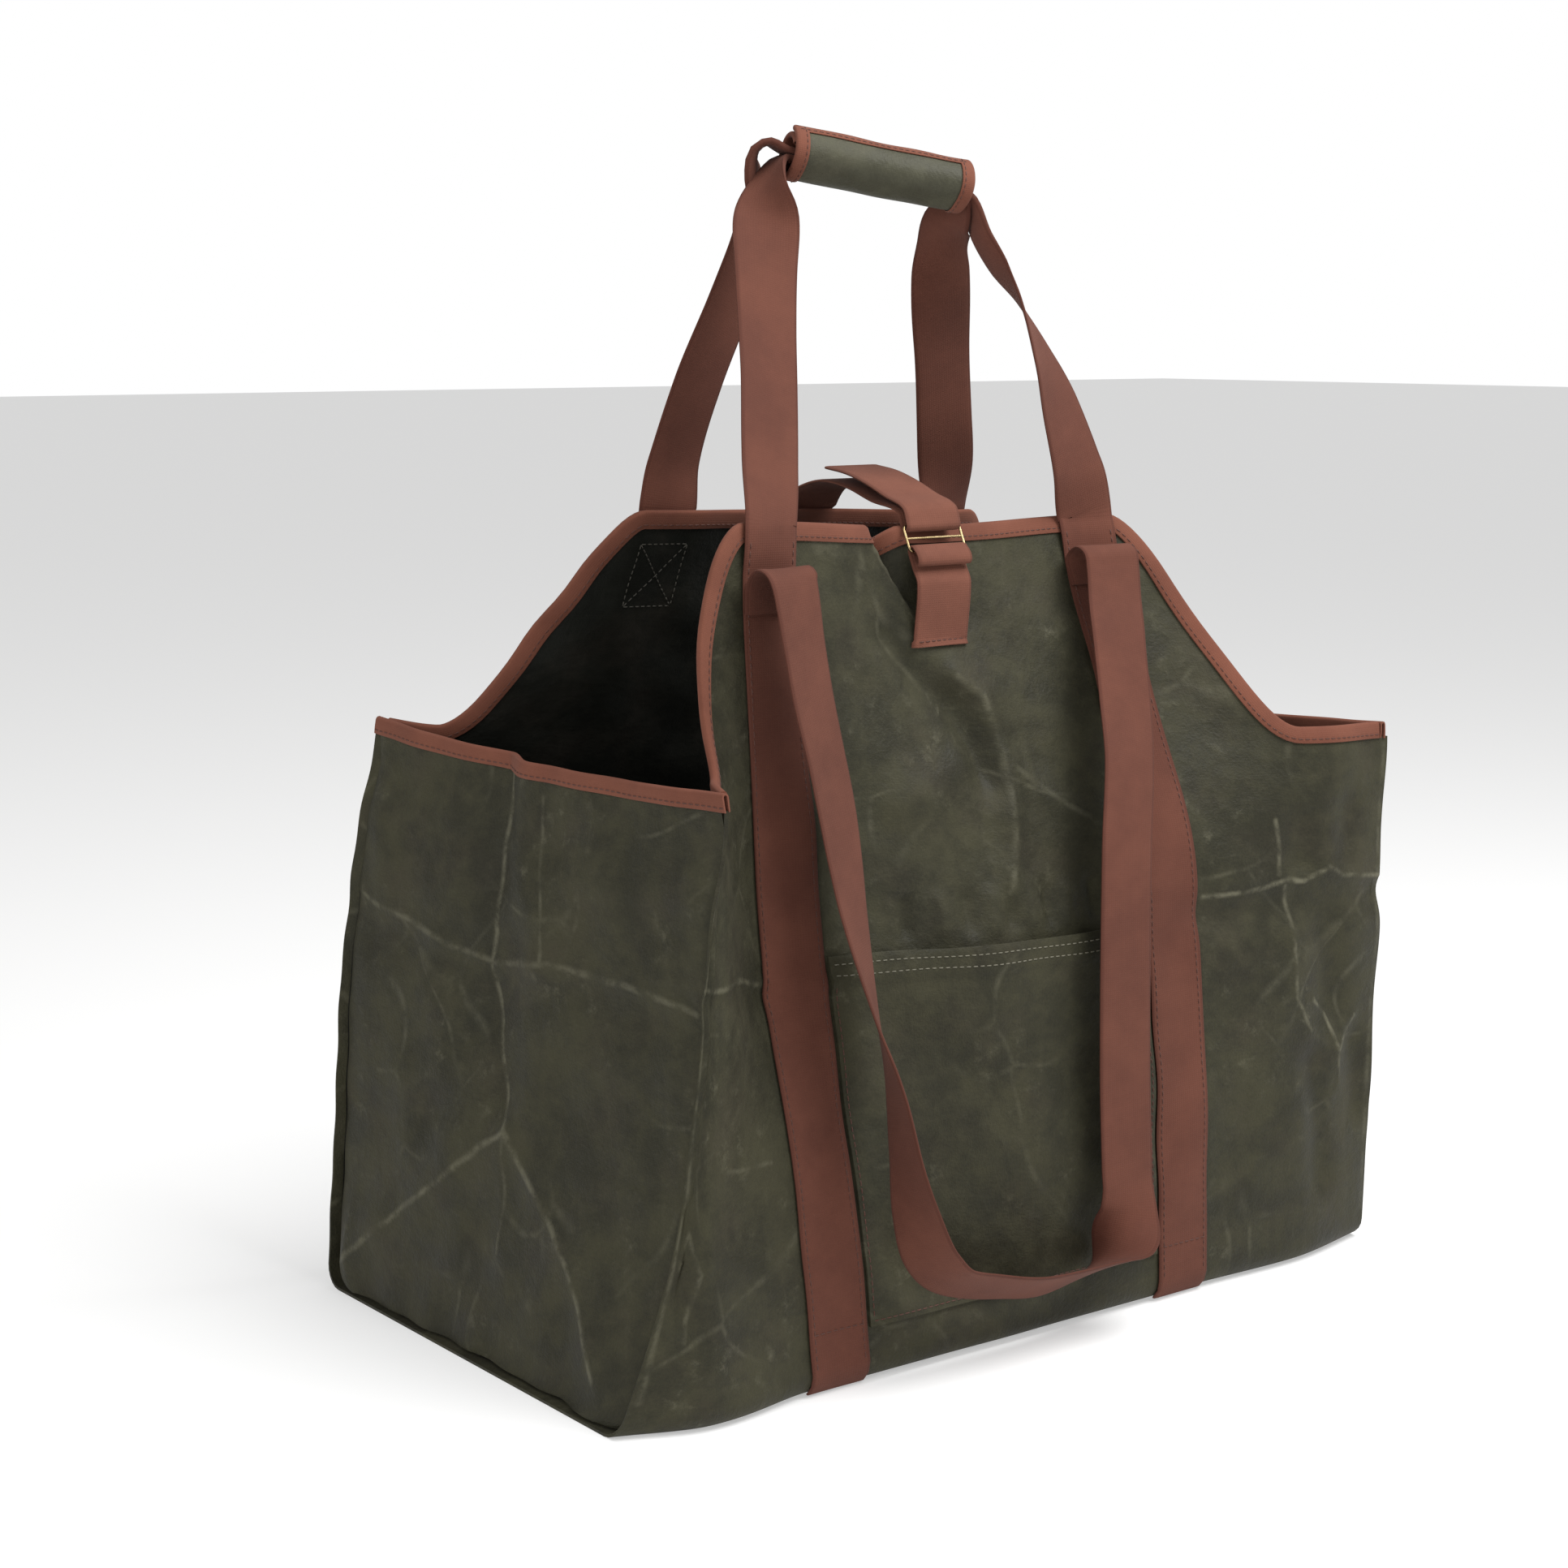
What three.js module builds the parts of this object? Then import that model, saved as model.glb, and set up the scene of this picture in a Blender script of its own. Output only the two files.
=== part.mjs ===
// Canvas log bag: an open-topped carrier of waxed canvas with webbing straps and bound edges.
// Millimetres, +Z up. X runs along the bag, Y from its front to its back, z = 0 is the floor.
import * as THREE from "three";

// Driving sizes
const baseLeft = -258;
const baseRight = 288;
const baseDepth = 313;
const panelHeight = 455; // cut height of the front and back walls at the straps
const endHeight = 330; // cut height of the two end panels
const shoulderTop = 140; // half width of the level top edge
const shoulderFoot = 218; // where the shoulder curve runs out into the level end
const cornerRadius = 12; // fold between the base and a wall
const canvas = 1.6; // thickness of the waxed canvas
const webbing = 1.8; // thickness of the strap webbing
const tape = 1.0; // thickness of the edge binding
const tapeDepth = 11; // how far the binding reaches down from an edge
const clearance = 0.35; // air between pieces that are sewn together
const lip = 5; // seam allowance of the main panel that stands out past an end panel
const bindingStart = 14; // the edge binding stops this far from an end of the main panel
const strapWidth = 38;
const strapSpacing = 248; // between the middles of the two straps on one wall
const strapInner = (strapSpacing - strapWidth) / 2;
const strapOuter = (strapSpacing + strapWidth) / 2;
const strapLift = 2.6; // how far a strap stands off the canvas at a bound edge
const tapeLift = 1.6; // and at the lower side of the binding
const pocketFoot = 30;
const pocketMouth = 226;
const pocketInset = 2; // the pocket's sides stop this far from the straps
const gripLength = 102;
const gripRadius = 11.5; // middle of the wrap's inner turn
const gripOverlap = 3.8; // radial room for the overlapping flap and its binding
const gripTape = 0.6;
const gripTapeDepth = 6;
const seamSlack = 0.2; // extra air along the seams of the end panels
const pocketSlack = 0.1; // and behind the pocket
const barGap = 0.7; // air between a bar of the slide and the webbing round it

const palette = {
  canvas: "#4a483d",
  webbing: "#7a4c40",
  binding: "#8c5a49",
  brass: "#b59a5a",
};

// Where the canvas of the front and the back wall stands. A row is a height up the cut panel. Its
// columns are places along the bag, and each number is how far the wall leans in from the base edge.
const stationNames = [
  "leftSeam", "leftFold", "leftStrap", "middle", "rightStrap", "rightFold", "rightSeam",
];
const leftFold = -215;
const rightFold = 224;
const stationPlaces = [baseLeft, leftFold, -strapOuter, 0, strapOuter, rightFold, baseRight];
const driftNames = [
  "leftSeam", "leftFold", "leftStrap", "leftStrap", "rightStrap", "rightStrap", "rightFold", "rightSeam",
];
const driftPlaces = [
  baseLeft, leftFold, -strapOuter, -strapInner, strapInner, strapOuter, rightFold, baseRight,
];
const wallHeights = [0, 75, 140, 200, 260, 330, 395, panelHeight];

const frontWall = {
  side: -1,
  lean: {
    leftSeam: [14, 14, 15, 16, 17, 18, 24, 30],
    leftFold: [-5, -1, 2, 9, 22, 44, 54, 58],
    leftStrap: [0, 12, 25, 40, 49, 56, 61, 64],
    middle: [0, 5, 12, 20, 32, 53, 73, 88],
    rightStrap: [0, 1.5, 5, 10.5, 17, 43, 70, 93],
    rightFold: [-2, -3, -4, -4, -2, 8, 32, 52],
    rightSeam: [10, 7, 5, 3, 1, 0, 8, 20],
  },
  // How far the canvas moves along the bag as it rises, as the ends slump.
  drift: {
    leftSeam: [2, 31, 46, 55, 64, 73, 60, 40],
    leftFold: [8, 6, 12, 21, 31, 41, 22, 4],
    rightFold: [0, 1, 2, 2, 2, 2, 1, 0],
    rightSeam: [0, -1, -2, -3, -3, -3, -4, -6],
  },
  rise: [0.965, 0.975, 0.987, 0.967, 0.969, 0.965, 0.962],
  // Dents and ridges: a line on the cut panel, its depth (out is positive) and its reach to each side.
  folds: [
    { name: "pull below the tab", fromX: -52, fromUp: 372, toX: 26, toUp: 296, depth: -6, reach: 20 },
    { name: "pull beside the tab", fromX: -32, fromUp: 455, toX: -24, toUp: 398, depth: -7, reach: 13 },
    { name: "ridge over the pocket", fromX: 24, fromUp: 322, toX: 14, toUp: 236, depth: 4, reach: 14 },
    { name: "left mid crease", fromX: -252, fromUp: 222, toX: -160, toUp: 226, depth: -3, reach: 12 },
    { name: "right mid crease", fromX: 160, fromUp: 238, toX: 286, toUp: 234, depth: -4, reach: 13 },
    { name: "right end dent", fromX: 226, fromUp: 215, toX: 242, toUp: 60, depth: -7, reach: 17 },
    { name: "left corner dent", fromX: -238, fromUp: 110, toX: -226, toUp: 30, depth: -4, reach: 12 },
  ],
};

const backWall = {
  side: 1,
  lean: {
    leftSeam: [0, 0, 1, 3, 7, 13, 22, 32],
    leftFold: [0, 3, 8, 18, 34, 56, 76, 98],
    leftStrap: [0, 7, 19, 36, 57, 87, 117, 145],
    middle: [0, 8, 19, 35, 54, 79, 103, 124],
    rightStrap: [0, 5, 13, 25, 41, 64, 87, 107],
    rightFold: [0, 3, 7, 13, 22, 36, 52, 68],
    rightSeam: [0, 0, 1, 3, 7, 13, 20, 28],
  },
  drift: {
    leftSeam: [0, 5, 9, 14, 21, 34, 34, 30],
    leftFold: [0, 0, 0, 1, 3, 8, 12, 16],
    leftStrap: [0, 0, 1, 3, 5, 8, 10, 12],
    rightStrap: [0, 0, 0, -1, -2, -3, -5, -6],
    rightFold: [0, 0, 0, -1, -2, -4, -6, -8],
    rightSeam: [0, -1, -2, -3, -5, -9, -12, -14],
  },
  rise: [1.0, 0.994, 0.988, 0.976, 0.962, 0.96, 0.96],
  folds: [
    { name: "left mid crease", fromX: -250, fromUp: 226, toX: -155, toUp: 224, depth: -3, reach: 12 },
    { name: "right mid crease", fromX: 155, fromUp: 224, toX: 268, toUp: 228, depth: -3, reach: 12 },
    { name: "middle sag", fromX: -60, fromUp: 300, toX: 50, toUp: 250, depth: -5, reach: 26 },
  ],
};

// Creases of an end panel. Across runs from the front seam (0) to the back seam (1), up from the base
// (0) to the bound top edge (1).
const leftCreases = [
  { name: "middle fold", fromX: 0.475, fromUp: 0.385, toX: 0.59, toUp: 1.02, depth: -6, reach: 0.13 },
  { name: "step beside it", fromX: 0.42, fromUp: 0.62, toX: 0.45, toUp: 1.02, depth: 4, reach: 0.08 },
  { name: "back leg", fromX: 0.475, fromUp: 0.385, toX: 0.95, toUp: 0.05, depth: 4, reach: 0.1 },
  { name: "front leg", fromX: 0.475, fromUp: 0.385, toX: 0.07, toUp: 0.08, depth: 4, reach: 0.1 },
  { name: "back mid crease", fromX: 0.98, fromUp: 0.7, toX: 0.56, toUp: 0.65, depth: -3, reach: 0.06 },
  { name: "front mid crease", fromX: 0.42, fromUp: 0.65, toX: 0.02, toUp: 0.65, depth: -3, reach: 0.06 },
];
const rightCreases = [
  { name: "middle fold", fromX: 0.5, fromUp: 0.38, toX: 0.48, toUp: 1.02, depth: -7, reach: 0.14 },
  { name: "back leg", fromX: 0.5, fromUp: 0.38, toX: 0.93, toUp: 0.06, depth: 4, reach: 0.1 },
  { name: "front leg", fromX: 0.5, fromUp: 0.38, toX: 0.07, toUp: 0.06, depth: 4, reach: 0.1 },
  { name: "mid crease", fromX: 0.02, fromUp: 0.68, toX: 0.98, toUp: 0.68, depth: -3, reach: 0.06 },
];
const endPanels = {
  left: { edge: baseLeft + lip, out: -1, sag: 6, bulge: 4, creases: leftCreases },
  right: { edge: baseRight - lip, out: 1, sag: 5, bulge: 6, creases: rightCreases },
};

// The grip's middle line turns towards the front and slopes down on the right.
const gripMiddle = { x: -3.5, y: -30, z: 633.5 };
const gripTurn = -0.31; // radians seen from above
const gripSlope = 0.165; // radians
const layerOffset = 2.5; // the front handle lies this far under the grip's middle line, the back over it
const foldedWidth = 17; // the webbing is folded double inside the grip
const foldedThick = 3.6;

function gripPoint(along, layer) {
  const level = along * Math.cos(gripSlope);
  return {
    x: gripMiddle.x + level * Math.cos(gripTurn),
    y: gripMiddle.y + level * Math.sin(gripTurn),
    z: gripMiddle.z - along * Math.sin(gripSlope) + layer,
  };
}

// A row of a handle's table inside the grip, where its webbing is folded double.
function inGrip(along, layer, heading) {
  return { ...gripPoint(along, layer), heading, width: foldedWidth, thick: foldedThick };
}

// Each handle from the left wall, through the grip, to the right wall. Heading is the way that the
// webbing's width points, in degrees from +X.
const frontHandle = [
  { x: -114, y: -81, z: 482, heading: 7, width: 38, thick: webbing },
  { x: -101, y: -63, z: 522, heading: 6, width: 38, thick: webbing },
  { x: -92, y: -49, z: 554, heading: 2, width: 38, thick: webbing },
  { x: -83, y: -36, z: 585, heading: -6, width: 38, thick: webbing },
  { x: -76, y: -27, z: 607, heading: -26, width: 36, thick: webbing },
  { x: -70, y: -20, z: 625, heading: -74, width: 26, thick: 2.6 },
  inGrip(-56, -layerOffset, -106),
  inGrip(-40, -layerOffset, -108),
  inGrip(40, -layerOffset, -108),
  inGrip(55, -layerOffset, -108),
  { x: 60, y: -45, z: 606, heading: -106, width: 27, thick: 2.6 },
  { x: 69, y: -50, z: 587, heading: -110, width: 34, thick: webbing },
  { x: 77, y: -58, z: 566, heading: -127, width: 38, thick: webbing },
  { x: 90, y: -67, z: 531, heading: -150, width: 38, thick: webbing },
  { x: 99, y: -70, z: 506, heading: -165, width: 38, thick: webbing },
  { x: 112, y: -71, z: 471, heading: -177, width: 38, thick: webbing },
];
const backHandle = [
  { x: -107, y: 16, z: 478, heading: 188, width: 38, thick: webbing },
  { x: -96, y: 8, z: 521, heading: 191, width: 38, thick: webbing },
  { x: -86, y: 3, z: 558, heading: 195, width: 38, thick: webbing },
  { x: -77, y: 2, z: 592, heading: 199, width: 37, thick: webbing },
  { x: -72, y: 0, z: 617, heading: 208, width: 34, thick: webbing },
  { x: -68, y: -6, z: 638, heading: 232, width: 26, thick: 2.6 },
  inGrip(-56, layerOffset, 252),
  inGrip(-40, layerOffset, 252),
  inGrip(40, layerOffset, 252),
  inGrip(57, layerOffset, 252),
  { x: 67, y: -37, z: 624, heading: 262, width: 24, thick: 2.8 },
  { x: 68, y: -20, z: 609, heading: 300, width: 32, thick: webbing },
  { x: 73, y: 2, z: 580, heading: 346, width: 38, thick: webbing },
  { x: 85, y: 17, z: 542, heading: 356, width: 38, thick: webbing },
  { x: 101, y: 33, z: 494, heading: 354, width: 38, thick: webbing },
  { x: 111, y: 43, z: 466, heading: 354, width: 38, thick: webbing },
];

// The shoulder strap hangs as a loop in front of the bag. Each end is sewn flat on a strip, bends over and
// hangs down. Lift tips its width up from the level.
const shoulderLoop = [
  { x: -124, y: -97, z: 404, heading: 7, lift: 0 },
  { x: -124, y: -96.5, z: 418, heading: 8, lift: 0 },
  { x: -124, y: -99.3, z: 424.7, heading: 10, lift: 0 },
  { x: -124, y: -106, z: 427.5, heading: 12, lift: 0 },
  { x: -124, y: -112.7, z: 424.7, heading: 14, lift: 0 },
  { x: -123.4, y: -116, z: 416.6, heading: 16, lift: -2 },
  { x: -120.5, y: -118.5, z: 391.6, heading: 19, lift: -3 },
  { x: -116.5, y: -121.5, z: 362, heading: 20, lift: -3 },
  { x: -110.4, y: -124, z: 332.5, heading: 22, lift: -3 },
  { x: -105.3, y: -127, z: 303, heading: 22, lift: -3 },
  { x: -103.5, y: -131.5, z: 278, heading: 25, lift: -3 },
  { x: -102.8, y: -138.5, z: 249.4, heading: 32, lift: -4 },
  { x: -98, y: -153, z: 193, heading: 53, lift: 0 },
  { x: -98.5, y: -168, z: 159, heading: 67, lift: -3 },
  { x: -98, y: -177, z: 124, heading: 79, lift: -5 },
  { x: -92, y: -180, z: 92, heading: 95, lift: -11 },
  { x: -84.5, y: -181, z: 72, heading: 98, lift: -26 },
  { x: -72, y: -181, z: 58, heading: 92, lift: -31 },
  { x: -49.5, y: -181, z: 49, heading: 90, lift: -34 },
  { x: -22, y: -181, z: 42.3, heading: 90, lift: -32 },
  { x: 6, y: -180, z: 38.5, heading: 90, lift: -35 },
  { x: 34, y: -179, z: 39.6, heading: 91, lift: -29 },
  { x: 49, y: -178.5, z: 42.3, heading: 98, lift: -22 },
  { x: 58.5, y: -176.5, z: 50.3, heading: 128, lift: -10 },
  { x: 65, y: -173, z: 63.5, heading: 166, lift: -3 },
  { x: 66.7, y: -170.6, z: 78.3, heading: 180, lift: 0 },
  { x: 66.6, y: -169.6, z: 92.3, heading: 180, lift: 0 },
  { x: 69, y: -164, z: 150, heading: 180, lift: 0 },
  { x: 76, y: -155, z: 262, heading: 181, lift: 1 },
  { x: 88.2, y: -143, z: 312, heading: 183, lift: 3 },
  { x: 98.5, y: -128, z: 344.5, heading: 180, lift: 3 },
  { x: 109, y: -111, z: 378.7, heading: 178, lift: 3 },
  { x: 116.1, y: -100, z: 398.6, heading: 177, lift: 2 },
  { x: 120, y: -93.5, z: 417, heading: 176, lift: 1 },
  { x: 120.5, y: -91, z: 424, heading: 175, lift: 0 },
  { x: 121.5, y: -85, z: 426.7, heading: 175, lift: 0 },
  { x: 122.8, y: -79.2, z: 424, heading: 174, lift: 0 },
  { x: 123.6, y: -76.6, z: 417.5, heading: 174, lift: 0 },
  { x: 124, y: -81, z: 404, heading: 174, lift: 0 },
];

// The brass slide that joins the closure strap to its tab: three bars, leaning back.
const slide = { y: -78.5, z: 437, lean: 0.44, width: 45, bar: 2.4, slot: 5, plate: 2 };
const slidePitch = slide.bar + slide.slot; // from one bar to the next
const wrapRadius = slide.bar / 2 + barGap + webbing / 2; // webbing round a bar, to its middle

// Even steps from one value to another, both ends included.
function spaced(from, to, steps) {
  return Array.from({ length: steps + 1 }, (_, i) => from + ((to - from) * i) / steps);
}

// A smooth curve through the values at the given stops.
function through(stops, values, at) {
  const last = stops.length - 1;
  const clamped = Math.min(Math.max(at, stops[0]), stops[last]);
  let i = 0;
  while (i < last - 1 && clamped > stops[i + 1]) i += 1;
  const slope = (k) => {
    const before = Math.max(k - 1, 0);
    const after = Math.min(k + 1, last);
    return (values[after] - values[before]) / (stops[after] - stops[before]);
  };
  const span = stops[i + 1] - stops[i];
  const t = (clamped - stops[i]) / span;
  const rest = 1 - t;
  const start = values[i] * (1 + 2 * t) * rest * rest + slope(i) * span * t * rest * rest;
  const end = values[i + 1] * (3 - 2 * t) * t * t - slope(i + 1) * span * rest * t * t;
  return start + end;
}

// Depth of all the folds at one place, each a soft bell across its line that fades past the ends.
function foldDepth(folds, x, up) {
  let depth = 0;
  for (const fold of folds) {
    const runX = fold.toX - fold.fromX;
    const runUp = fold.toUp - fold.fromUp;
    const share = ((x - fold.fromX) * runX + (up - fold.fromUp) * runUp) / (runX * runX + runUp * runUp);
    const nearest = Math.min(Math.max(share, 0), 1);
    const away = Math.hypot(x - fold.fromX - nearest * runX, up - fold.fromUp - nearest * runUp);
    depth += fold.depth * Math.exp(-((away / fold.reach) ** 2));
  }
  return depth;
}

// Height of the cut edge of the front or back wall: level ends, a shoulder curve, a level top.
function cutHeight(x) {
  const roundShare = 0.36; // share of the curve's run that is rounded at each end
  const share = (shoulderFoot - Math.abs(x)) / (shoulderFoot - shoulderTop);
  const t = Math.min(Math.max(share, 0), 1);
  const slope = 1 / (1 - roundShare);
  let climb = (t - roundShare / 2) * slope;
  if (t < roundShare) climb = (t * t * slope) / (2 * roundShare);
  if (t > 1 - roundShare) climb = 1 - ((1 - t) ** 2 * slope) / (2 * roundShare);
  return endHeight + (panelHeight - endHeight) * climb;
}

// Values of a wall table across the bag at one height, with 0 where it has no such column.
function valuesAt(table, names, up) {
  return names.map((name) => (table[name] ? through(wallHeights, table[name], up) : 0));
}

// Middle of the canvas at a place along the bag and a height up the cut panel.
function wallPoint(wall, x, up) {
  const lean = through(stationPlaces, valuesAt(wall.lean, stationNames, up), x);
  const drift = through(driftPlaces, valuesAt(wall.drift, driftNames, up), x);
  const outward = baseDepth / 2 - lean + foldDepth(wall.folds, x, up);
  const height = up * through(stationPlaces, wall.rise, x);
  return new THREE.Vector3(x + drift, wall.side * outward, height + canvas / 2);
}

// The rounded fold between a wall and the base: angle 90 is the wall's foot, 0 the base's edge.
function cornerPoint(wall, x, angle) {
  const foot = wallPoint(wall, x, cornerRadius);
  const turn = THREE.MathUtils.degToRad(angle);
  const level = wallPoint(wall, x, 0);
  foot.x = THREE.MathUtils.lerp(level.x, foot.x, 1 - Math.cos(turn));
  foot.y -= wall.side * cornerRadius * (1 - Math.sin(turn));
  foot.z = canvas / 2 + (foot.z - canvas / 2) * (1 - Math.cos(turn));
  return foot;
}

// Normals of a grid of points, on the side that the row step crossed with the column step gives.
function gridNormals(rows) {
  const lastRow = rows.length - 1;
  const lastColumn = rows[0].length - 1;
  return rows.map((row, r) => row.map((_, c) => {
    const down = rows[Math.min(r + 1, lastRow)][c].clone().sub(rows[Math.max(r - 1, 0)][c]);
    const along = row[Math.min(c + 1, lastColumn)].clone().sub(row[Math.max(c - 1, 0)]);
    return down.cross(along).normalize();
  }));
}

// A geometry from points and faces, turned right side out.
function solidGeometry(points, faces) {
  const corner = new THREE.Vector3();
  const wedge = ([a, b, c]) => points[a].dot(corner.crossVectors(points[b], points[c]));
  const volume = faces.reduce((sum, face) => sum + wedge(face), 0);
  const outward = volume > 0 ? faces : faces.map(([a, b, c]) => [a, c, b]);
  const coordinates = points.flatMap((point) => point.toArray());
  const geometry = new THREE.BufferGeometry();
  geometry.setAttribute("position", new THREE.Float32BufferAttribute(coordinates, 3));
  geometry.setIndex(outward.flat());
  geometry.computeVertexNormals();
  return geometry;
}

// A closed wall of cloth: a grid of middle points thickened to both sides along its normals.
function clothGeometry(rows, normals, thickness) {
  const rowCount = rows.length;
  const columnCount = rows[0].length;
  const points = [];
  for (const offset of [thickness / 2, -thickness / 2]) {
    const shifted = (point, r, c) => point.clone().addScaledVector(normals[r][c], offset);
    rows.forEach((row, r) => points.push(...row.map((point, c) => shifted(point, r, c))));
  }
  const at = (layer, r, c) => (layer * rowCount + r) * columnCount + c;
  const faces = [];
  const quad = (a, b, c, d) => faces.push([a, b, c], [a, c, d]);
  for (let r = 0; r < rowCount - 1; r += 1) {
    for (let c = 0; c < columnCount - 1; c += 1) {
      quad(at(0, r, c), at(0, r + 1, c), at(0, r + 1, c + 1), at(0, r, c + 1));
      quad(at(1, r, c), at(1, r, c + 1), at(1, r + 1, c + 1), at(1, r + 1, c));
    }
  }
  const rim = [];
  for (let c = 0; c < columnCount - 1; c += 1) rim.push([0, c]);
  for (let r = 0; r < rowCount - 1; r += 1) rim.push([r, columnCount - 1]);
  for (let c = columnCount - 1; c > 0; c -= 1) rim.push([rowCount - 1, c]);
  for (let r = rowCount - 1; r > 0; r -= 1) rim.push([r, 0]);
  rim.forEach(([r, c], i) => {
    const [nextRow, nextColumn] = rim[(i + 1) % rim.length];
    quad(at(0, r, c), at(0, nextRow, nextColumn), at(1, nextRow, nextColumn), at(1, r, c));
  });
  return solidGeometry(points, faces);
}

// A solid lofted through loops of corners, its two ends closed. The outline is the loop laid flat. The
// strip of faces with the turned number is split along its other diagonal.
function loftGeometry(loops, outline, turned = -1) {
  const corners = outline.length;
  const faces = [];
  for (let s = 0; s < loops.length - 1; s += 1) {
    for (let k = 0; k < corners; k += 1) {
      const next = (k + 1) % corners;
      const here = s * corners;
      const ahead = here + corners;
      if (k === turned) {
        faces.push([here + k, here + next, ahead + next], [here + k, ahead + next, ahead + k]);
      } else {
        faces.push([here + k, here + next, ahead + k], [here + next, ahead + next, ahead + k]);
      }
    }
  }
  const caps = THREE.ShapeUtils.triangulateShape(outline, []);
  const end = (loops.length - 1) * corners;
  caps.forEach(([a, b, c]) => faces.push([a, c, b], [end + a, end + b, end + c]));
  return solidGeometry(loops.flat(), faces);
}

const flatOutline = [[-1, -1], [1, -1], [1, 1], [-1, 1]].map(([x, y]) => new THREE.Vector2(x, y));

// Corners of a strap that lies on cloth, from its two edges and the cloth's normals there.
function lyingCorners(first, second, offset, thickness) {
  const lifted = (edge, height) => edge.point.clone().addScaledVector(edge.normal, height);
  return [
    lifted(first, offset),
    lifted(second, offset),
    lifted(second, offset + thickness),
    lifted(first, offset + thickness),
  ];
}

// Corners of a strap in the air, from its middle, the way that its width points and its normal.
function freeCorners(middle, across, normal, width, thickness) {
  return flatOutline.map(({ x, y }) => middle.clone()
    .addScaledVector(across, (x * width) / 2)
    .addScaledVector(normal, (y * thickness) / 2));
}

// Smooth steps through the rows of a strap's table, with stops at the distances between its rows.
function strapSteps(rows, stepsPerRow) {
  const columnNames = Object.keys(rows[0]);
  const stops = [0];
  rows.slice(1).forEach((row, i) => {
    stops.push(stops[i] + Math.hypot(row.x - rows[i].x, row.y - rows[i].y, row.z - rows[i].z));
  });
  const places = stops.slice(1).flatMap((stop, i) => spaced(stops[i], stop, stepsPerRow).slice(1));
  return [0, ...places].map((at) => {
    const entries = columnNames.map((name) => [name, through(stops, rows.map((row) => row[name]), at)]);
    return Object.fromEntries(entries);
  });
}

// Loops of corners along a strap in the air. The path is given from end to end.
function strapLoops(steps, normalSign) {
  const points = steps.map(({ x, y, z }) => new THREE.Vector3(x, y, z));
  return steps.map((step, i) => {
    const heading = THREE.MathUtils.degToRad(step.heading);
    const lift = THREE.MathUtils.degToRad(step.lift ?? 0);
    const ahead = points[Math.min(i + 1, points.length - 1)].clone();
    const tangent = ahead.sub(points[Math.max(i - 1, 0)]).normalize();
    const level = Math.cos(lift);
    const across = new THREE.Vector3(level * Math.cos(heading), level * Math.sin(heading), Math.sin(lift));
    across.addScaledVector(tangent, -across.dot(tangent)).normalize();
    const normal = across.clone().cross(tangent).multiplyScalar(normalSign);
    return freeCorners(points[i], across, normal, step.width ?? strapWidth, step.thick ?? webbing);
  });
}

// A folded tape over a cloth edge. A place has a point and a normal on the edge, and the same at the
// tape's full depth into the cloth.
const tapeFarLeg = 6; // strip that faces the cloth on its far side

function tapeGeometry(places, clothThickness, thickness) {
  const inner = clothThickness / 2 + clearance;
  const outer = inner + thickness;
  const over = -clearance - thickness;
  const outline = [
    [-outer, 1], [-outer, over], [outer, over], [outer, 1],
    [inner, 1], [inner, -clearance], [-inner, -clearance], [-inner, 1],
  ].map(([x, y]) => new THREE.Vector2(x, y));
  const loops = places.map(({ edge, deep }) => {
    const inward = deep.point.clone().sub(edge.point).normalize();
    return outline.map(({ x, y }) => {
      if (y > 0) return deep.point.clone().addScaledVector(deep.normal, x);
      return edge.point.clone().addScaledVector(edge.normal, x).addScaledVector(inward, y);
    });
  });
  return loftGeometry(loops, outline, tapeFarLeg);
}

// Main panel: front wall, base and back wall in one canvas
const half = strapWidth / 2;
const columns = [
  ...spaced(baseLeft, -strapOuter, 8),
  ...spaced(-strapInner, -half, 3),
  ...spaced(half, strapInner, 3),
  ...spaced(strapOuter, baseRight, 8),
];
const upShares = [
  ...spaced(pocketFoot, pocketMouth, 5),
  ...spaced(pocketMouth, panelHeight, 7).slice(1),
].map((up) => up / panelHeight);
const cornerAngles = [90, 65, 40, 0];

// The binding's lower edge is a row of the panel. It is square to the cut edge, unless a row is too near.
const tapeRowShare = 0.75; // most of the gap to the next row that the binding may take

function tapeRowHeight(x) {
  const slope = (cutHeight(x + 1) - cutHeight(x - 1)) / 2;
  const rowGap = (1 - upShares.at(-2)) * cutHeight(x);
  return cutHeight(x) - Math.min(tapeDepth * Math.hypot(1, slope), tapeRowShare * rowGap);
}

const rowHeights = [
  ...upShares.slice(0, -1).map((share) => (x) => share * cutHeight(x)),
  tapeRowHeight,
  cutHeight,
];
const wallRow = (wall, rowHeight) => columns.map((x) => wallPoint(wall, x, rowHeight(x)));
const frontRows = rowHeights.map((rowHeight) => wallRow(frontWall, rowHeight)).reverse();
const frontCorner = cornerAngles.map((angle) => columns.map((x) => cornerPoint(frontWall, x, angle)));
const backCorner = cornerAngles.map((angle) => columns.map((x) => cornerPoint(backWall, x, angle))).reverse();
const backRows = rowHeights.map((rowHeight) => wallRow(backWall, rowHeight));
const baseRows = [0.25, 0.5, 0.75].map((share) => (
  frontCorner.at(-1).map((point, c) => point.clone().lerp(backCorner[0][c], share))
));
const panelRows = [...frontRows, ...frontCorner, ...baseRows, ...backCorner, ...backRows];
const panelNormals = gridNormals(panelRows);
const baseStart = frontRows.length + frontCorner.length - 1;
const baseEnd = baseStart + baseRows.length + 1;
for (let r = baseStart; r <= baseEnd; r += 1) panelNormals[r].forEach((normal) => normal.set(0, 0, -1));
const mainPanel = clothGeometry(panelRows, panelNormals, canvas);

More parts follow.
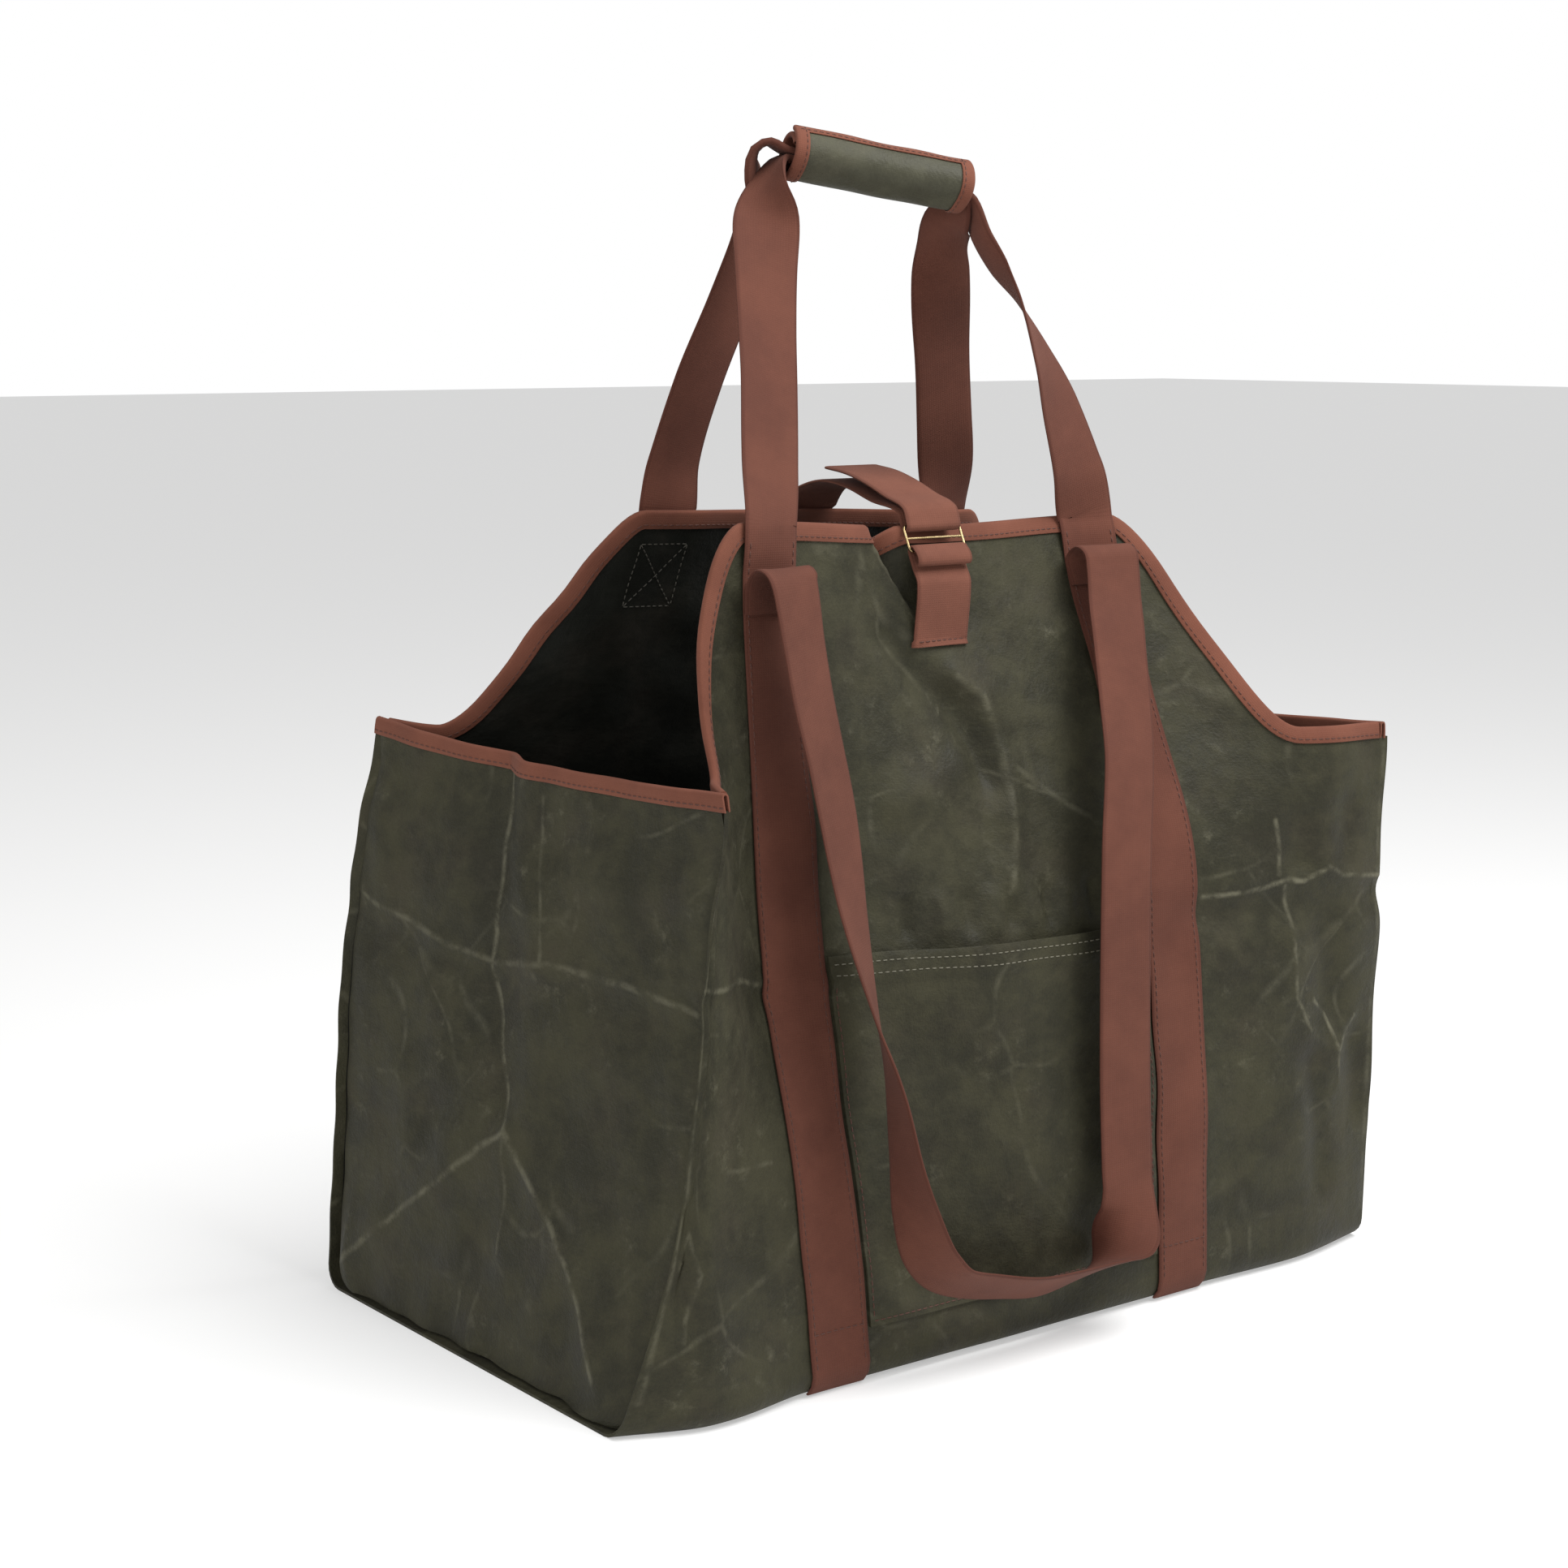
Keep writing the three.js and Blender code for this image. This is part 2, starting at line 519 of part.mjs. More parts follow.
const columnAt = (x) => columns.findIndex((place) => Math.abs(place - x) < 0.01);
const panelEdge = (r, c) => ({ point: panelRows[r][c], normal: panelNormals[r][c] });
const lastPanelRow = panelRows.length - 1;

// Point and normal of the main panel between two of its columns or rows.
function between(first, second, share) {
  return {
    point: first.point.clone().lerp(second.point, share),
    normal: first.normal.clone().lerp(second.normal, share).normalize(),
  };
}

function columnPlace(r, x) {
  const last = columns.length - 2;
  const found = columns.findIndex((place) => place > x) - 1;
  const c = found < 0 ? last : Math.min(found, last);
  return between(panelEdge(r, c), panelEdge(r, c + 1), (x - columns[c]) / (columns[c + 1] - columns[c]));
}

// Bound top edges of the front and back walls
function wallBinding(topRow, tapeRow) {
  const kept = columns.filter((x) => x > baseLeft + bindingStart && x < baseRight - bindingStart);
  const places = kept.map(columnAt).map((c) => ({ edge: panelEdge(topRow, c), deep: panelEdge(tapeRow, c) }));
  return tapeGeometry(topRow === 0 ? places : places.reverse(), canvas, tape);
}

// End panels, set in from the main panel's edge. A row runs from the front seam to the back seam.
const seamInset = canvas + clearance + seamSlack;
const endAcross = spaced(0, 1, 12);
const creaseFade = 0.06; // an end panel's creases run out over this share of its width at a seam

function seamPoint(r, end) {
  const { point, normal } = columnPlace(r, end.edge);
  return point.addScaledVector(normal, -seamInset);
}

function endRow(end, r) {
  const front = seamPoint(r, end);
  const back = seamPoint(lastPanelRow - r, end);
  const rowHeight = rowHeights[rowHeights.length - 1 - r];
  const share = rowHeight ? rowHeight(end.edge) / endHeight : (front.z + back.z) / 2 / endHeight;
  return endAcross.map((across) => {
    const point = front.clone().lerp(back, across);
    const belly = end.bulge * Math.sin(Math.PI * across) * Math.sin(Math.PI * share);
    const edgeFade = Math.min(1, Math.min(across, 1 - across) / creaseFade);
    point.x += end.out * (belly + foldDepth(end.creases, across, share) * edgeFade);
    point.z -= end.sag * Math.sin(Math.PI * across) * share ** 4;
    return point;
  });
}

function endRows(end) {
  const rowCount = frontRows.length + frontCorner.length;
  const rows = Array.from({ length: rowCount }, (_, r) => endRow(end, r));
  return end.out < 0 ? rows.reverse() : rows;
}

function endPanel(rows) {
  return clothGeometry(rows, gridNormals(rows), canvas);
}

function endBinding(rows, out) {
  const normals = gridNormals(rows);
  const [top, next] = out < 0 ? [rows.length - 1, rows.length - 2] : [0, 1];
  const seamShare = 0.75; // the binding starts this share of a step in from each seam
  const last = endAcross.length - 1;
  const starts = [seamShare, ...spaced(1, last - 1, last - 2), last - seamShare];
  const places = starts.map((at) => {
    const c = Math.min(Math.floor(at), last - 1);
    const pick = (r, k) => ({ point: rows[r][k], normal: normals[r][k] });
    const placeIn = (r) => between(pick(r, c), pick(r, c + 1), at - c);
    return { edge: placeIn(top), deep: placeIn(next) };
  });
  return tapeGeometry(places, canvas, tape);
}

const leftRows = endRows(endPanels.left);
const rightRows = endRows(endPanels.right);

// Straps: each lies on its wall from the base to the top edge, then runs free through the grip
const strapOffset = canvas / 2 + clearance;

function panelRowPlace(r, c) {
  const below = Math.floor(r);
  return between(panelEdge(below, c), panelEdge(Math.ceil(r), c), r - below);
}

function lyingLoops(rowNumbers, firstX, secondX) {
  const [first, second] = [columnAt(firstX), columnAt(secondX)];
  return rowNumbers.map((r) => {
    const fromTop = Math.min(r, lastPanelRow - r);
    const extra = [strapLift, tapeLift][fromTop] ?? 0;
    return lyingCorners(panelRowPlace(r, first), panelRowPlace(r, second), strapOffset + extra, webbing);
  });
}

// Rows of the main panel from just above the floor up to the top edge of the front and back walls
const frontClimb = spaced(0, frontRows.length + 2, frontRows.length + 2).reverse();
const backClimb = frontClimb.map((r) => lastPanelRow - r);

function handleStrap(climb, firstX, handle, lastX) {
  const [leftFirst, leftSecond] = firstX;
  const [rightFirst, rightSecond] = lastX;
  const loops = [
    ...lyingLoops(climb, leftFirst, leftSecond),
    ...strapLoops(strapSteps(handle, 2), 1),
    ...lyingLoops([...climb].reverse(), rightFirst, rightSecond),
  ];
  return loftGeometry(loops, flatOutline);
}

const frontStrap = handleStrap(frontClimb, [-strapOuter, -strapInner], frontHandle, [strapOuter, strapInner]);
const backStrap = handleStrap(backClimb, [-strapInner, -strapOuter], backHandle, [strapInner, strapOuter]);
const shoulderStrap = loftGeometry(strapLoops(strapSteps(shoulderLoop, 2), -1), flatOutline);

// Front pocket: a canvas patch between the straps
function pocketGeometry() {
  const offset = canvas + clearance + pocketSlack;
  const side = strapInner - pocketInset;
  const across = [-side, ...columns.filter((x) => Math.abs(x) < strapInner - 1), side];
  const rowCount = upShares.filter((share) => share * panelHeight < pocketMouth + 1).length;
  const topRow = frontRows.length - rowCount;
  const rows = Array.from({ length: rowCount }, (_, k) => across.map((x) => {
    const { point, normal } = columnPlace(topRow + k, x);
    return point.addScaledVector(normal, offset);
  }));
  return clothGeometry(rows, gridNormals(rows), canvas);
}

// Closure: a strap from the back wall, over the mouth and round the slide, and the tab below it
function slidePoint(up, out) {
  const y = slide.y + up * Math.sin(slide.lean) - out * Math.cos(slide.lean);
  const z = slide.z + up * Math.cos(slide.lean) + out * Math.sin(slide.lean);
  return { y, z };
}

function slideTurn(barUp, fromAngle, toAngle) {
  return spaced(fromAngle, toAngle, 6).map((angle) => {
    const turn = THREE.MathUtils.degToRad(angle);
    return slidePoint(barUp + wrapRadius * Math.sin(turn), wrapRadius * Math.cos(turn));
  });
}

// Loops along a level band. Facing is 1 where its width runs along +X and -1 where it runs along -X.
function bandLoops(path, facing) {
  const across = new THREE.Vector3(facing, 0, 0);
  const points = path.map(({ y, z }) => new THREE.Vector3(0, y, z));
  return points.map((point, i) => {
    const ahead = points[Math.min(i + 1, points.length - 1)].clone();
    const tangent = ahead.sub(points[Math.max(i - 1, 0)]).normalize();
    return freeCorners(point, across, across.clone().cross(tangent), strapWidth, webbing);
  });
}

// Heights below the slide's middle where the tab runs behind it and folds down in front of it
const tabBehind = [-26, -16];
const tabInFront = [-13, -20];
const strapAbove = 17; // height above the slide's middle where the closure strap meets it
const tabPath = [
  ...tabBehind.map((up) => slidePoint(up, -wrapRadius)),
  ...slideTurn(-slidePitch, 180, 0),
  ...tabInFront.map((up) => slidePoint(up, wrapRadius)),
];
const closureTab = loftGeometry([
  ...lyingLoops([3, 2.5], -half, half),
  ...bandLoops(tabPath, 1),
], flatOutline);

const closurePath = [
  { y: 26, z: 458 }, { y: 15, z: 465 }, { y: -2, z: 468 }, { y: -24, z: 466 }, { y: -46, z: 459 },
  slidePoint(strapAbove, -wrapRadius),
  ...slideTurn(slidePitch, 180, 360),
  slidePoint(strapAbove, wrapRadius),
  { y: -58, z: 461 }, { y: -42, z: 468 }, { y: -24, z: 473 }, { y: -5, z: 475 },
];
const closureStrap = loftGeometry([
  ...lyingLoops([3, 2, 1, 0].map((r) => lastPanelRow - r), half, -half),
  ...bandLoops(closurePath, -1),
], flatOutline);

function slideGeometry() {
  const height = 3 * slide.bar + 2 * slide.slot;
  const frame = (width, tall, middle) => {
    const outline = new THREE.Shape();
    outline.moveTo(-width / 2, middle - tall / 2);
    outline.lineTo(width / 2, middle - tall / 2);
    outline.lineTo(width / 2, middle + tall / 2);
    outline.lineTo(-width / 2, middle + tall / 2);
    outline.closePath();
    return outline;
  };
  const plate = frame(slide.width, height, 0);
  const slotWidth = slide.width - 2 * slide.bar;
  plate.holes = [-slidePitch / 2, slidePitch / 2].map((middle) => frame(slotWidth, slide.slot, middle));
  const geometry = new THREE.ExtrudeGeometry(plate, { depth: slide.plate, bevelEnabled: false });
  return geometry.translate(0, 0, -slide.plate / 2);
}

// Grip: a canvas wrap round both handles with a flap, in its own frame along X
const flapAngle = 75; // the flap's edge, in degrees up from the front
const wrapTurn = 400;
const flapSettles = [0.14, 0.32]; // shares of the wrap between which the flap comes down on the inner turn

function wrapPoint(share, x) {
  const angle = THREE.MathUtils.degToRad(flapAngle - wrapTurn * share);
  const radius = gripRadius + gripOverlap * (1 - THREE.MathUtils.smoothstep(share, ...flapSettles));
  return new THREE.Vector3(x, -radius * Math.cos(angle), radius * Math.sin(angle));
}

const wrapShares = spaced(0, 1, 24);
const wrapEnds = [-gripLength / 2, gripLength / 2];
const wrapRows = wrapShares.map((share) => wrapEnds.map((x) => wrapPoint(share, x)));
const wrapNormals = gridNormals(wrapRows);

function gripBindingGeometry() {
  const place = (r, c) => {
    const deepRow = Math.max(r, 1); // along the flap's edge the tape reaches to the next row
    const inward = new THREE.Vector3(c === 0 ? gripTapeDepth : -gripTapeDepth, 0, 0);
    return {
      edge: { point: wrapRows[r][c], normal: wrapNormals[r][c] },
      deep: { point: wrapRows[deepRow][c].clone().add(inward), normal: wrapNormals[deepRow][c] },
    };
  };
  const rowNumbers = wrapRows.map((_, r) => r);
  const leftPlaces = rowNumbers.map((r) => place(r, 0)).reverse();
  const rightPlaces = rowNumbers.map((r) => place(r, 1));
  return tapeGeometry([...leftPlaces, ...rightPlaces], canvas, gripTape);
}

// Assembly
const bag = new THREE.Group();
const finishes = {
  canvas: { color: palette.canvas, roughness: 0.75, metalness: 0 },
  webbing: { color: palette.webbing, roughness: 0.85, metalness: 0 },
  binding: { color: palette.binding, roughness: 0.8, metalness: 0 },
  brass: { color: palette.brass, roughness: 0.3, metalness: 1 },
};

function addPiece(parent, name, geometry, finish) {
  const mesh = new THREE.Mesh(geometry, new THREE.MeshStandardMaterial(finishes[finish]));
  mesh.name = name;
  parent.add(mesh);
  return mesh;
}

addPiece(bag, "main_panel", mainPanel, "canvas");
addPiece(bag, "left_end_panel", endPanel(leftRows), "canvas");
addPiece(bag, "right_end_panel", endPanel(rightRows), "canvas");
addPiece(bag, "front_edge_binding", wallBinding(0, 1), "binding");
addPiece(bag, "back_edge_binding", wallBinding(lastPanelRow, lastPanelRow - 1), "binding");
addPiece(bag, "left_end_binding", endBinding(leftRows, -1), "binding");
addPiece(bag, "right_end_binding", endBinding(rightRows, 1), "binding");
addPiece(bag, "front_strap", frontStrap, "webbing");
addPiece(bag, "back_strap", backStrap, "webbing");
addPiece(bag, "shoulder_strap", shoulderStrap, "webbing");
addPiece(bag, "front_pocket", pocketGeometry(), "canvas");
addPiece(bag, "closure_tab", closureTab, "webbing");
addPiece(bag, "closure_strap", closureStrap, "webbing");
const slideMesh = addPiece(bag, "closure_slide", slideGeometry(), "brass");
slideMesh.position.set(0, slide.y, slide.z);
slideMesh.rotation.x = Math.PI / 2 - slide.lean;

const grip = new THREE.Group();
grip.position.set(gripMiddle.x, gripMiddle.y, gripMiddle.z);
grip.rotation.set(0, gripSlope, gripTurn, "ZYX");
addPiece(grip, "grip_wrap", clothGeometry(wrapRows, wrapNormals, canvas), "canvas");
addPiece(grip, "grip_binding", gripBindingGeometry(), "binding");
bag.add(grip);

// The straps are sewn beside the base's middle, and the frame's origin is the base's middle.
bag.position.x = -(baseLeft + baseRight) / 2;

export default bag;
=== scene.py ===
import math

import bpy
import numpy as np
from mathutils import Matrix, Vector


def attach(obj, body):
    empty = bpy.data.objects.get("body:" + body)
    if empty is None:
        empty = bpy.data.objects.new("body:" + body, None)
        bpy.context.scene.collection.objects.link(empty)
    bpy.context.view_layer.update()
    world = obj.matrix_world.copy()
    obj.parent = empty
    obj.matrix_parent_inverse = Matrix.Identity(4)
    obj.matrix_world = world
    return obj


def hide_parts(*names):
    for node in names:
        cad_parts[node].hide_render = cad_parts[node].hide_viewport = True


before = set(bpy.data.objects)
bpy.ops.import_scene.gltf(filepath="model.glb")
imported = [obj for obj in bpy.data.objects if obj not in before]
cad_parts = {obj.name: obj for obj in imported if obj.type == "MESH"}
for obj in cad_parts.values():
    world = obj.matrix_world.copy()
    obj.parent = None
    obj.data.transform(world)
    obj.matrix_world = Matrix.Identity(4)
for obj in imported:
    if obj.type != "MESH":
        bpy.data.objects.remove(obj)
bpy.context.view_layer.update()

rng = np.random.default_rng(11)
print("log bag: frame loaded")

# Sizes in millimetres, as the cloth is cut
mm = 0.001
baseLeft = -258.0
baseRight = 288.0
baseDepth = 313.0
panelHeight = 455.0
endHeight = 330.0
shoulderTop = 140.0
shoulderFoot = 218.0
shoulderRound = 0.36  # share of the shoulder's slope that is rounded at each of its ends
cornerRadius = 12.0
canvas = 1.6
webbing = 1.8
clearance = 0.35
lip = 5.0
lipSpan = 6.5  # the lip's cloth is cut lower over this width, so that it ends under the tape
lipCorner = 7.0
bindingStart = 8.0
strapWidth = 38.0
strapInner = 105.0
strapOuter = 143.0
bagShift = -(baseLeft + baseRight) / 2  # the frame's origin is the base's middle

# Where the two walls stand: a row for each place along the bag, a column for each height up the cloth
leftFold = -215.0
rightFold = 224.0
leanPlaces = [baseLeft, leftFold, -strapOuter, 0.0, strapOuter, rightFold, baseRight]
driftPlaces = [baseLeft, leftFold, -strapOuter, -strapInner, strapInner, strapOuter, rightFold, baseRight]
wallHeights = [0.0, 75.0, 140.0, 200.0, 260.0, 330.0, 395.0, panelHeight]
noDrift = [0.0] * len(wallHeights)

# Lines pressed into the front wall, as places along it and up it
pleatTail = [(5, 373), (19, 361), (25, 330), (25, 308), (22, 281), (14, 254)]
middleSlant = [(33, 320), (63, 297), (84, 284)]
leftLevel = [(-258, 230), (-187, 226), (-146, 216)]
leftShort = [(-203, 134), (-159, 128)]
leftHook = [(-247, 87), (-237, 104), (-224, 84), (-235, 49)]
rightLevel = [
    (147, 235), (168, 236), (190, 238), (203, 241),
    (216, 239), (233, 247), (247, 241), (288, 236),
]
rightRise = [(197, 277), (199, 260), (198, 245)]
rightDrop = [(202, 237), (206, 203), (207, 169), (220, 147)]
rightTail = [(247, 131), (251, 108)]

# Folds are soft and creases are sharp. Columns: depth, reach, places along the line.
# A pleat drops steeply on one side of its line and comes back slowly. Columns: depth, steep, slow, from, to
frontWall = {
    "side": -1,
    "lean": [
        [14, 14, 15, 16, 17, 18, 24, 30],
        [-5, -1, 2, 9, 22, 44, 54, 58],
        [0, 12, 25, 40, 49, 56, 61, 64],
        [0, 5, 12, 20, 32, 53, 73, 88],
        [0, 1.5, 5, 10.5, 17, 43, 70, 93],
        [-2, -3, -4, -4, -2, 8, 32, 52],
        [10, 7, 5, 3, 1, 0, 8, 20],
    ],
    "drift": [
        [2, 31, 46, 55, 64, 73, 60, 40],
        [8, 6, 12, 21, 31, 41, 22, 4],
        noDrift, noDrift, noDrift, noDrift,
        [0, 1, 2, 2, 2, 2, 1, 0],
        [0, -1, -2, -3, -3, -3, -4, -6],
    ],
    "rise": [0.965, 0.975, 0.987, 0.967, 0.969, 0.965, 0.962],
    "folds": [
        (-9, 11, [(-34, 396), (-19, 372), (2, 357), (12, 335), (16, 318)]),
        (4, 9, pleatTail),
        (3, 10, middleSlant),
        (3, 12, [(-50, 306), (-6, 323)]),
        (-3, 10, [(-258, 224), (-187, 220), (-146, 210)]),
        (-4, 12, [(147, 226), (190, 228), (240, 226), (288, 226)]),
        (-3.5, 10, [(212, 275), (214, 252)]),
        (-3.5, 11, [(252, 280), (250, 254)]),
        (-6, 15, [(232, 207), (242, 165)]),
        (-4.5, 11, [(226, 124), (238, 50)]),
        (-3.5, 10, [(268, 132), (274, 90)]),
        (-5, 10, [(-243, 115), (-232, 60)]),
    ],
    "creases": [
        (2.2, 4, pleatTail),
        (1.6, 5, rightLevel),
        (1.5, 5, rightRise),
        (1.5, 5.5, rightDrop),
        (2, 5, [(223, 166), (236, 154), (247, 131), (252, 142), (265, 150)]),
        (1.5, 5, rightTail),
        (2, 4, leftLevel + [(-104, 212)]),
        (1.5, 4, leftShort),
        (2.5, 5, leftHook),
        (3, 7, [(-246, 262), (-247, 167), (-250, 125)]),
    ],
    "pleats": [(-15, 4, 18, (-46, 455), (-14, 400))],
}
# Gathers above the pocket's mouth, in and out by turns
gathers = {
    "places": [-52, -31, -14, 1, 13, 27, 39, 52, 70],
    "depths": (-3.4, 2.4), "reach": 4.5, "top": 252, "foot": 237,
}
for k, x in enumerate(gathers["places"]):
    line = [(x, gathers["top"]), (x, gathers["foot"])]
    frontWall["folds"].append((gathers["depths"][k % 2], gathers["reach"], line))
backWall = {
    "side": 1,
    "lean": [
        [0, 0, 1, 3, 7, 13, 22, 32],
        [0, 3, 8, 18, 34, 56, 76, 98],
        [0, 7, 19, 36, 57, 87, 117, 145],
        [0, 8, 19, 35, 54, 79, 103, 124],
        [0, 5, 13, 25, 41, 64, 87, 107],
        [0, 3, 7, 13, 22, 36, 52, 68],
        [0, 0, 1, 3, 7, 13, 20, 28],
    ],
    "drift": [
        [0, 5, 9, 14, 21, 34, 34, 30],
        [0, 0, 0, 1, 3, 8, 12, 16],
        [0, 0, 1, 3, 5, 8, 10, 12],
        [0, 0, 1, 3, 5, 8, 10, 12],
        [0, 0, 0, -1, -2, -3, -5, -6],
        [0, 0, 0, -1, -2, -3, -5, -6],
        [0, 0, 0, -1, -2, -4, -6, -8],
        [0, -1, -2, -3, -5, -9, -12, -14],
    ],
    "rise": [1.0, 0.994, 0.988, 0.976, 0.962, 0.96, 0.96],
    "folds": [
        (-3, 12, [(-250, 226), (-155, 224)]),
        (-3, 12, [(155, 224), (268, 228)]),
        (-5, 26, [(-60, 300), (50, 250)]),
    ],
    "creases": [
        (1.5, 4, [(-250, 230), (-155, 228)]),
        (1.5, 4, [(155, 228), (268, 232)]),
    ],
    "pleats": [],
}
pleatDrop = 0.8  # the cloth in a pleat comes down by this share of its depth
wallWaves = {"count": 16, "longest": 140, "shortest": 32, "height": 0.32}
wavesFrom = 60.0  # the waves grow from nothing at the base to their full height here


# A smooth curve through values at the stops. Values may have one column for each place asked for.
def through(stops, values, at):
    stops = np.asarray(stops, float)
    values = np.asarray(values, float)
    at = np.clip(np.asarray(at, float), stops[0], stops[-1])
    if values.ndim == 1:
        values = np.repeat(values[:, None], at.size, axis=1)
    slopes = np.empty_like(values)
    slopes[1:-1] = (values[2:] - values[:-2]) / (stops[2:] - stops[:-2])[:, None]
    slopes[0] = (values[1] - values[0]) / (stops[1] - stops[0])
    slopes[-1] = (values[-1] - values[-2]) / (stops[-1] - stops[-2])
    i = np.clip(np.searchsorted(stops, at) - 1, 0, len(stops) - 2)
    n = np.arange(at.size)
    span = stops[i + 1] - stops[i]
    t = (at - stops[i]) / span
    rest = 1 - t
    start = values[i, n] * (1 + 2 * t) * rest * rest + slopes[i, n] * span * t * rest * rest
    end = values[i + 1, n] * (3 - 2 * t) * t * t - slopes[i + 1, n] * span * rest * t * t
    return start + end


def smooth(share):
    share = np.clip(share, 0, 1)
    return share * share * (3 - 2 * share)


def unit(vectors):
    return vectors / np.maximum(np.linalg.norm(vectors, axis=-1, keepdims=True), 1e-9)


def lineDistance(x, up, line):
    nearest = np.full(np.shape(x), np.inf)
    for (fromX, fromUp), (toX, toUp) in zip(line[:-1], line[1:]):
        runX = toX - fromX
        runUp = toUp - fromUp
        share = ((x - fromX) * runX + (up - fromUp) * runUp) / (runX * runX + runUp * runUp)
        share = np.clip(share, 0, 1)
        nearest = np.minimum(nearest, np.hypot(x - fromX - share * runX, up - fromUp - share * runUp))
    return nearest


def foldDepth(cloth, x, up):
    depth = np.zeros_like(x)
    for deep, reach, line in cloth["folds"]:
        depth += deep * np.exp(-((lineDistance(x, up, line) / reach) ** 2))
    for deep, reach, line in cloth["creases"]:
        depth += deep * np.exp(-lineDistance(x, up, line) / reach)
    return depth


def pleatDepth(cloth, x, up):
    depth = np.zeros_like(x)
    for deep, steep, slow, start, end in cloth["pleats"]:
        run = np.subtract(end, start)
        size = np.hypot(*run)
        beside = ((up - start[1]) * run[0] - (x - start[0]) * run[1]) / size
        share = ((x - start[0]) * run[0] + (up - start[1]) * run[1]) / size ** 2
        depth += deep * smooth(beside / steep) * smooth(1 - (beside - steep) / slow) * smooth(1 - share)
    return depth


# Slow waves of cloth that isn't stretched. Columns: rate along, rate up, start, height
def clothWaves(count, longest, shortest, height):
    turn = rng.uniform(0, math.pi, count)
    rate = 2 * math.pi / rng.uniform(shortest, longest, count)
    start = rng.uniform(0, 2 * math.pi, count)
    return np.stack([rate * np.cos(turn), rate * np.sin(turn), start, np.full(count, height)], -1)


def waveHeight(waves, x, up):
    height = np.zeros_like(x)
    for alongRate, upRate, start, tall in waves:
        height += tall * np.sin(alongRate * x + upRate * up + start)
    return height


frontWall["waves"] = clothWaves(**wallWaves)
backWall["waves"] = clothWaves(**wallWaves)


# Height at which a wall's cloth is cut: its top, its two shoulders and its low ends
def cutHeight(x):
    t = np.clip((shoulderFoot - np.abs(x)) / (shoulderFoot - shoulderTop), 0, 1)
    slope = 1 / (1 - shoulderRound)
    climb = (t - shoulderRound / 2) * slope
    climb = np.where(t < shoulderRound, t * t * slope / (2 * shoulderRound), climb)
    climb = np.where(t > 1 - shoulderRound, 1 - (1 - t) ** 2 * slope / (2 * shoulderRound), climb)
    fromEnd = np.minimum(x - baseLeft, baseRight - x)
    return endHeight + (panelHeight - endHeight) * climb - np.where(fromEnd < lipSpan, lipCorner, 0)


# Middle of the canvas at a place along the bag and a height up the cloth
def wallPoint(wall, x, up):
    lean = through(leanPlaces, [through(wallHeights, row, up) for row in wall["lean"]], x)
    drift = through(driftPlaces, [through(wallHeights, row, up) for row in wall["drift"]], x)
    waves = waveHeight(wall["waves"], x, up) * np.clip(up / wavesFrom, 0, 1)
    pleat = pleatDepth(wall, x, up)
    outward = baseDepth / 2 - lean + foldDepth(wall, x, up) + pleat + waves
    height = up * through(leanPlaces, wall["rise"], x) + pleat * pleatDrop
    return np.stack([x + drift, wall["side"] * outward, height + canvas / 2], -1)


# The same with the rounded fold at the base
def wallSurface(wall, x, up):
    x, up = np.broadcast_arrays(np.asarray(x, float), np.asarray(up, float))
    shape = x.shape
    x = x.ravel()
    up = up.ravel()
    point = wallPoint(wall, x, np.maximum(up, cornerRadius))
    level = wallPoint(wall, x, np.zeros_like(up))
    turn = math.pi / 2 * np.clip(up / cornerRadius, 0, 1)
    rise = 1 - np.cos(turn)
    point[:, 0] = level[:, 0] + (point[:, 0] - level[:, 0]) * rise
    point[:, 1] -= wall["side"] * cornerRadius * (1 - np.sin(turn))
    point[:, 2] = canvas / 2 + (point[:, 2] - canvas / 2) * rise
    return point.reshape(shape + (3,))


# Normal of a surface with two coordinates, from points a step to each side
def slopeNormal(surface, first, second, firstStep, secondStep):
    first, second = np.broadcast_arrays(np.asarray(first, float), np.asarray(second, float))
    along = surface(first + firstStep, second) - surface(first - firstStep, second)
    across = surface(first, second + secondStep) - surface(first, second - secondStep)
    return unit(np.cross(along, across))


clothStep = 0.7


def wallNormal(wall, x, up):
    normal = slopeNormal(lambda along, high: wallSurface(wall, along, high), x, up, clothStep, clothStep)
    return normal * -wall["side"]


def offCloth(wall, x, up, distance):
    return wallSurface(wall, x, up) + wallNormal(wall, x, up) * np.asarray(distance)[..., None]


def gridNormals(grid):
    return unit(np.cross(np.gradient(grid, axis=0), np.gradient(grid, axis=1)))


# A solid through loops of points. The second half of a loop runs back under the first half.
def loftSolid(loops, joined=False):
    count, corners = loops.shape[:2]
    index = np.arange(count * corners).reshape(count, corners)
    here = index if joined else index[:-1]
    ahead = np.roll(index, -1, axis=0) if joined else index[1:]
    sides = [here, np.roll(here, -1, axis=1), np.roll(ahead, -1, axis=1), ahead]
    faces = [np.stack(sides, -1).reshape(-1, 4)]
    k = np.arange(corners // 2 - 1)
    for ring, order in [] if joined else [(index[0], -1), (index[-1], 1)]:
        cap = np.stack([ring[k], ring[k + 1], ring[corners - 2 - k], ring[corners - 1 - k]], -1)
        faces.append(cap[:, ::order])
    return loops.reshape(-1, 3), np.concatenate(faces)


# Distance along a row of points
def lengthAlong(points):
    return np.concatenate([[0], np.cumsum(np.linalg.norm(np.diff(points, axis=0), axis=-1))])


sharpFrom = math.radians(55)


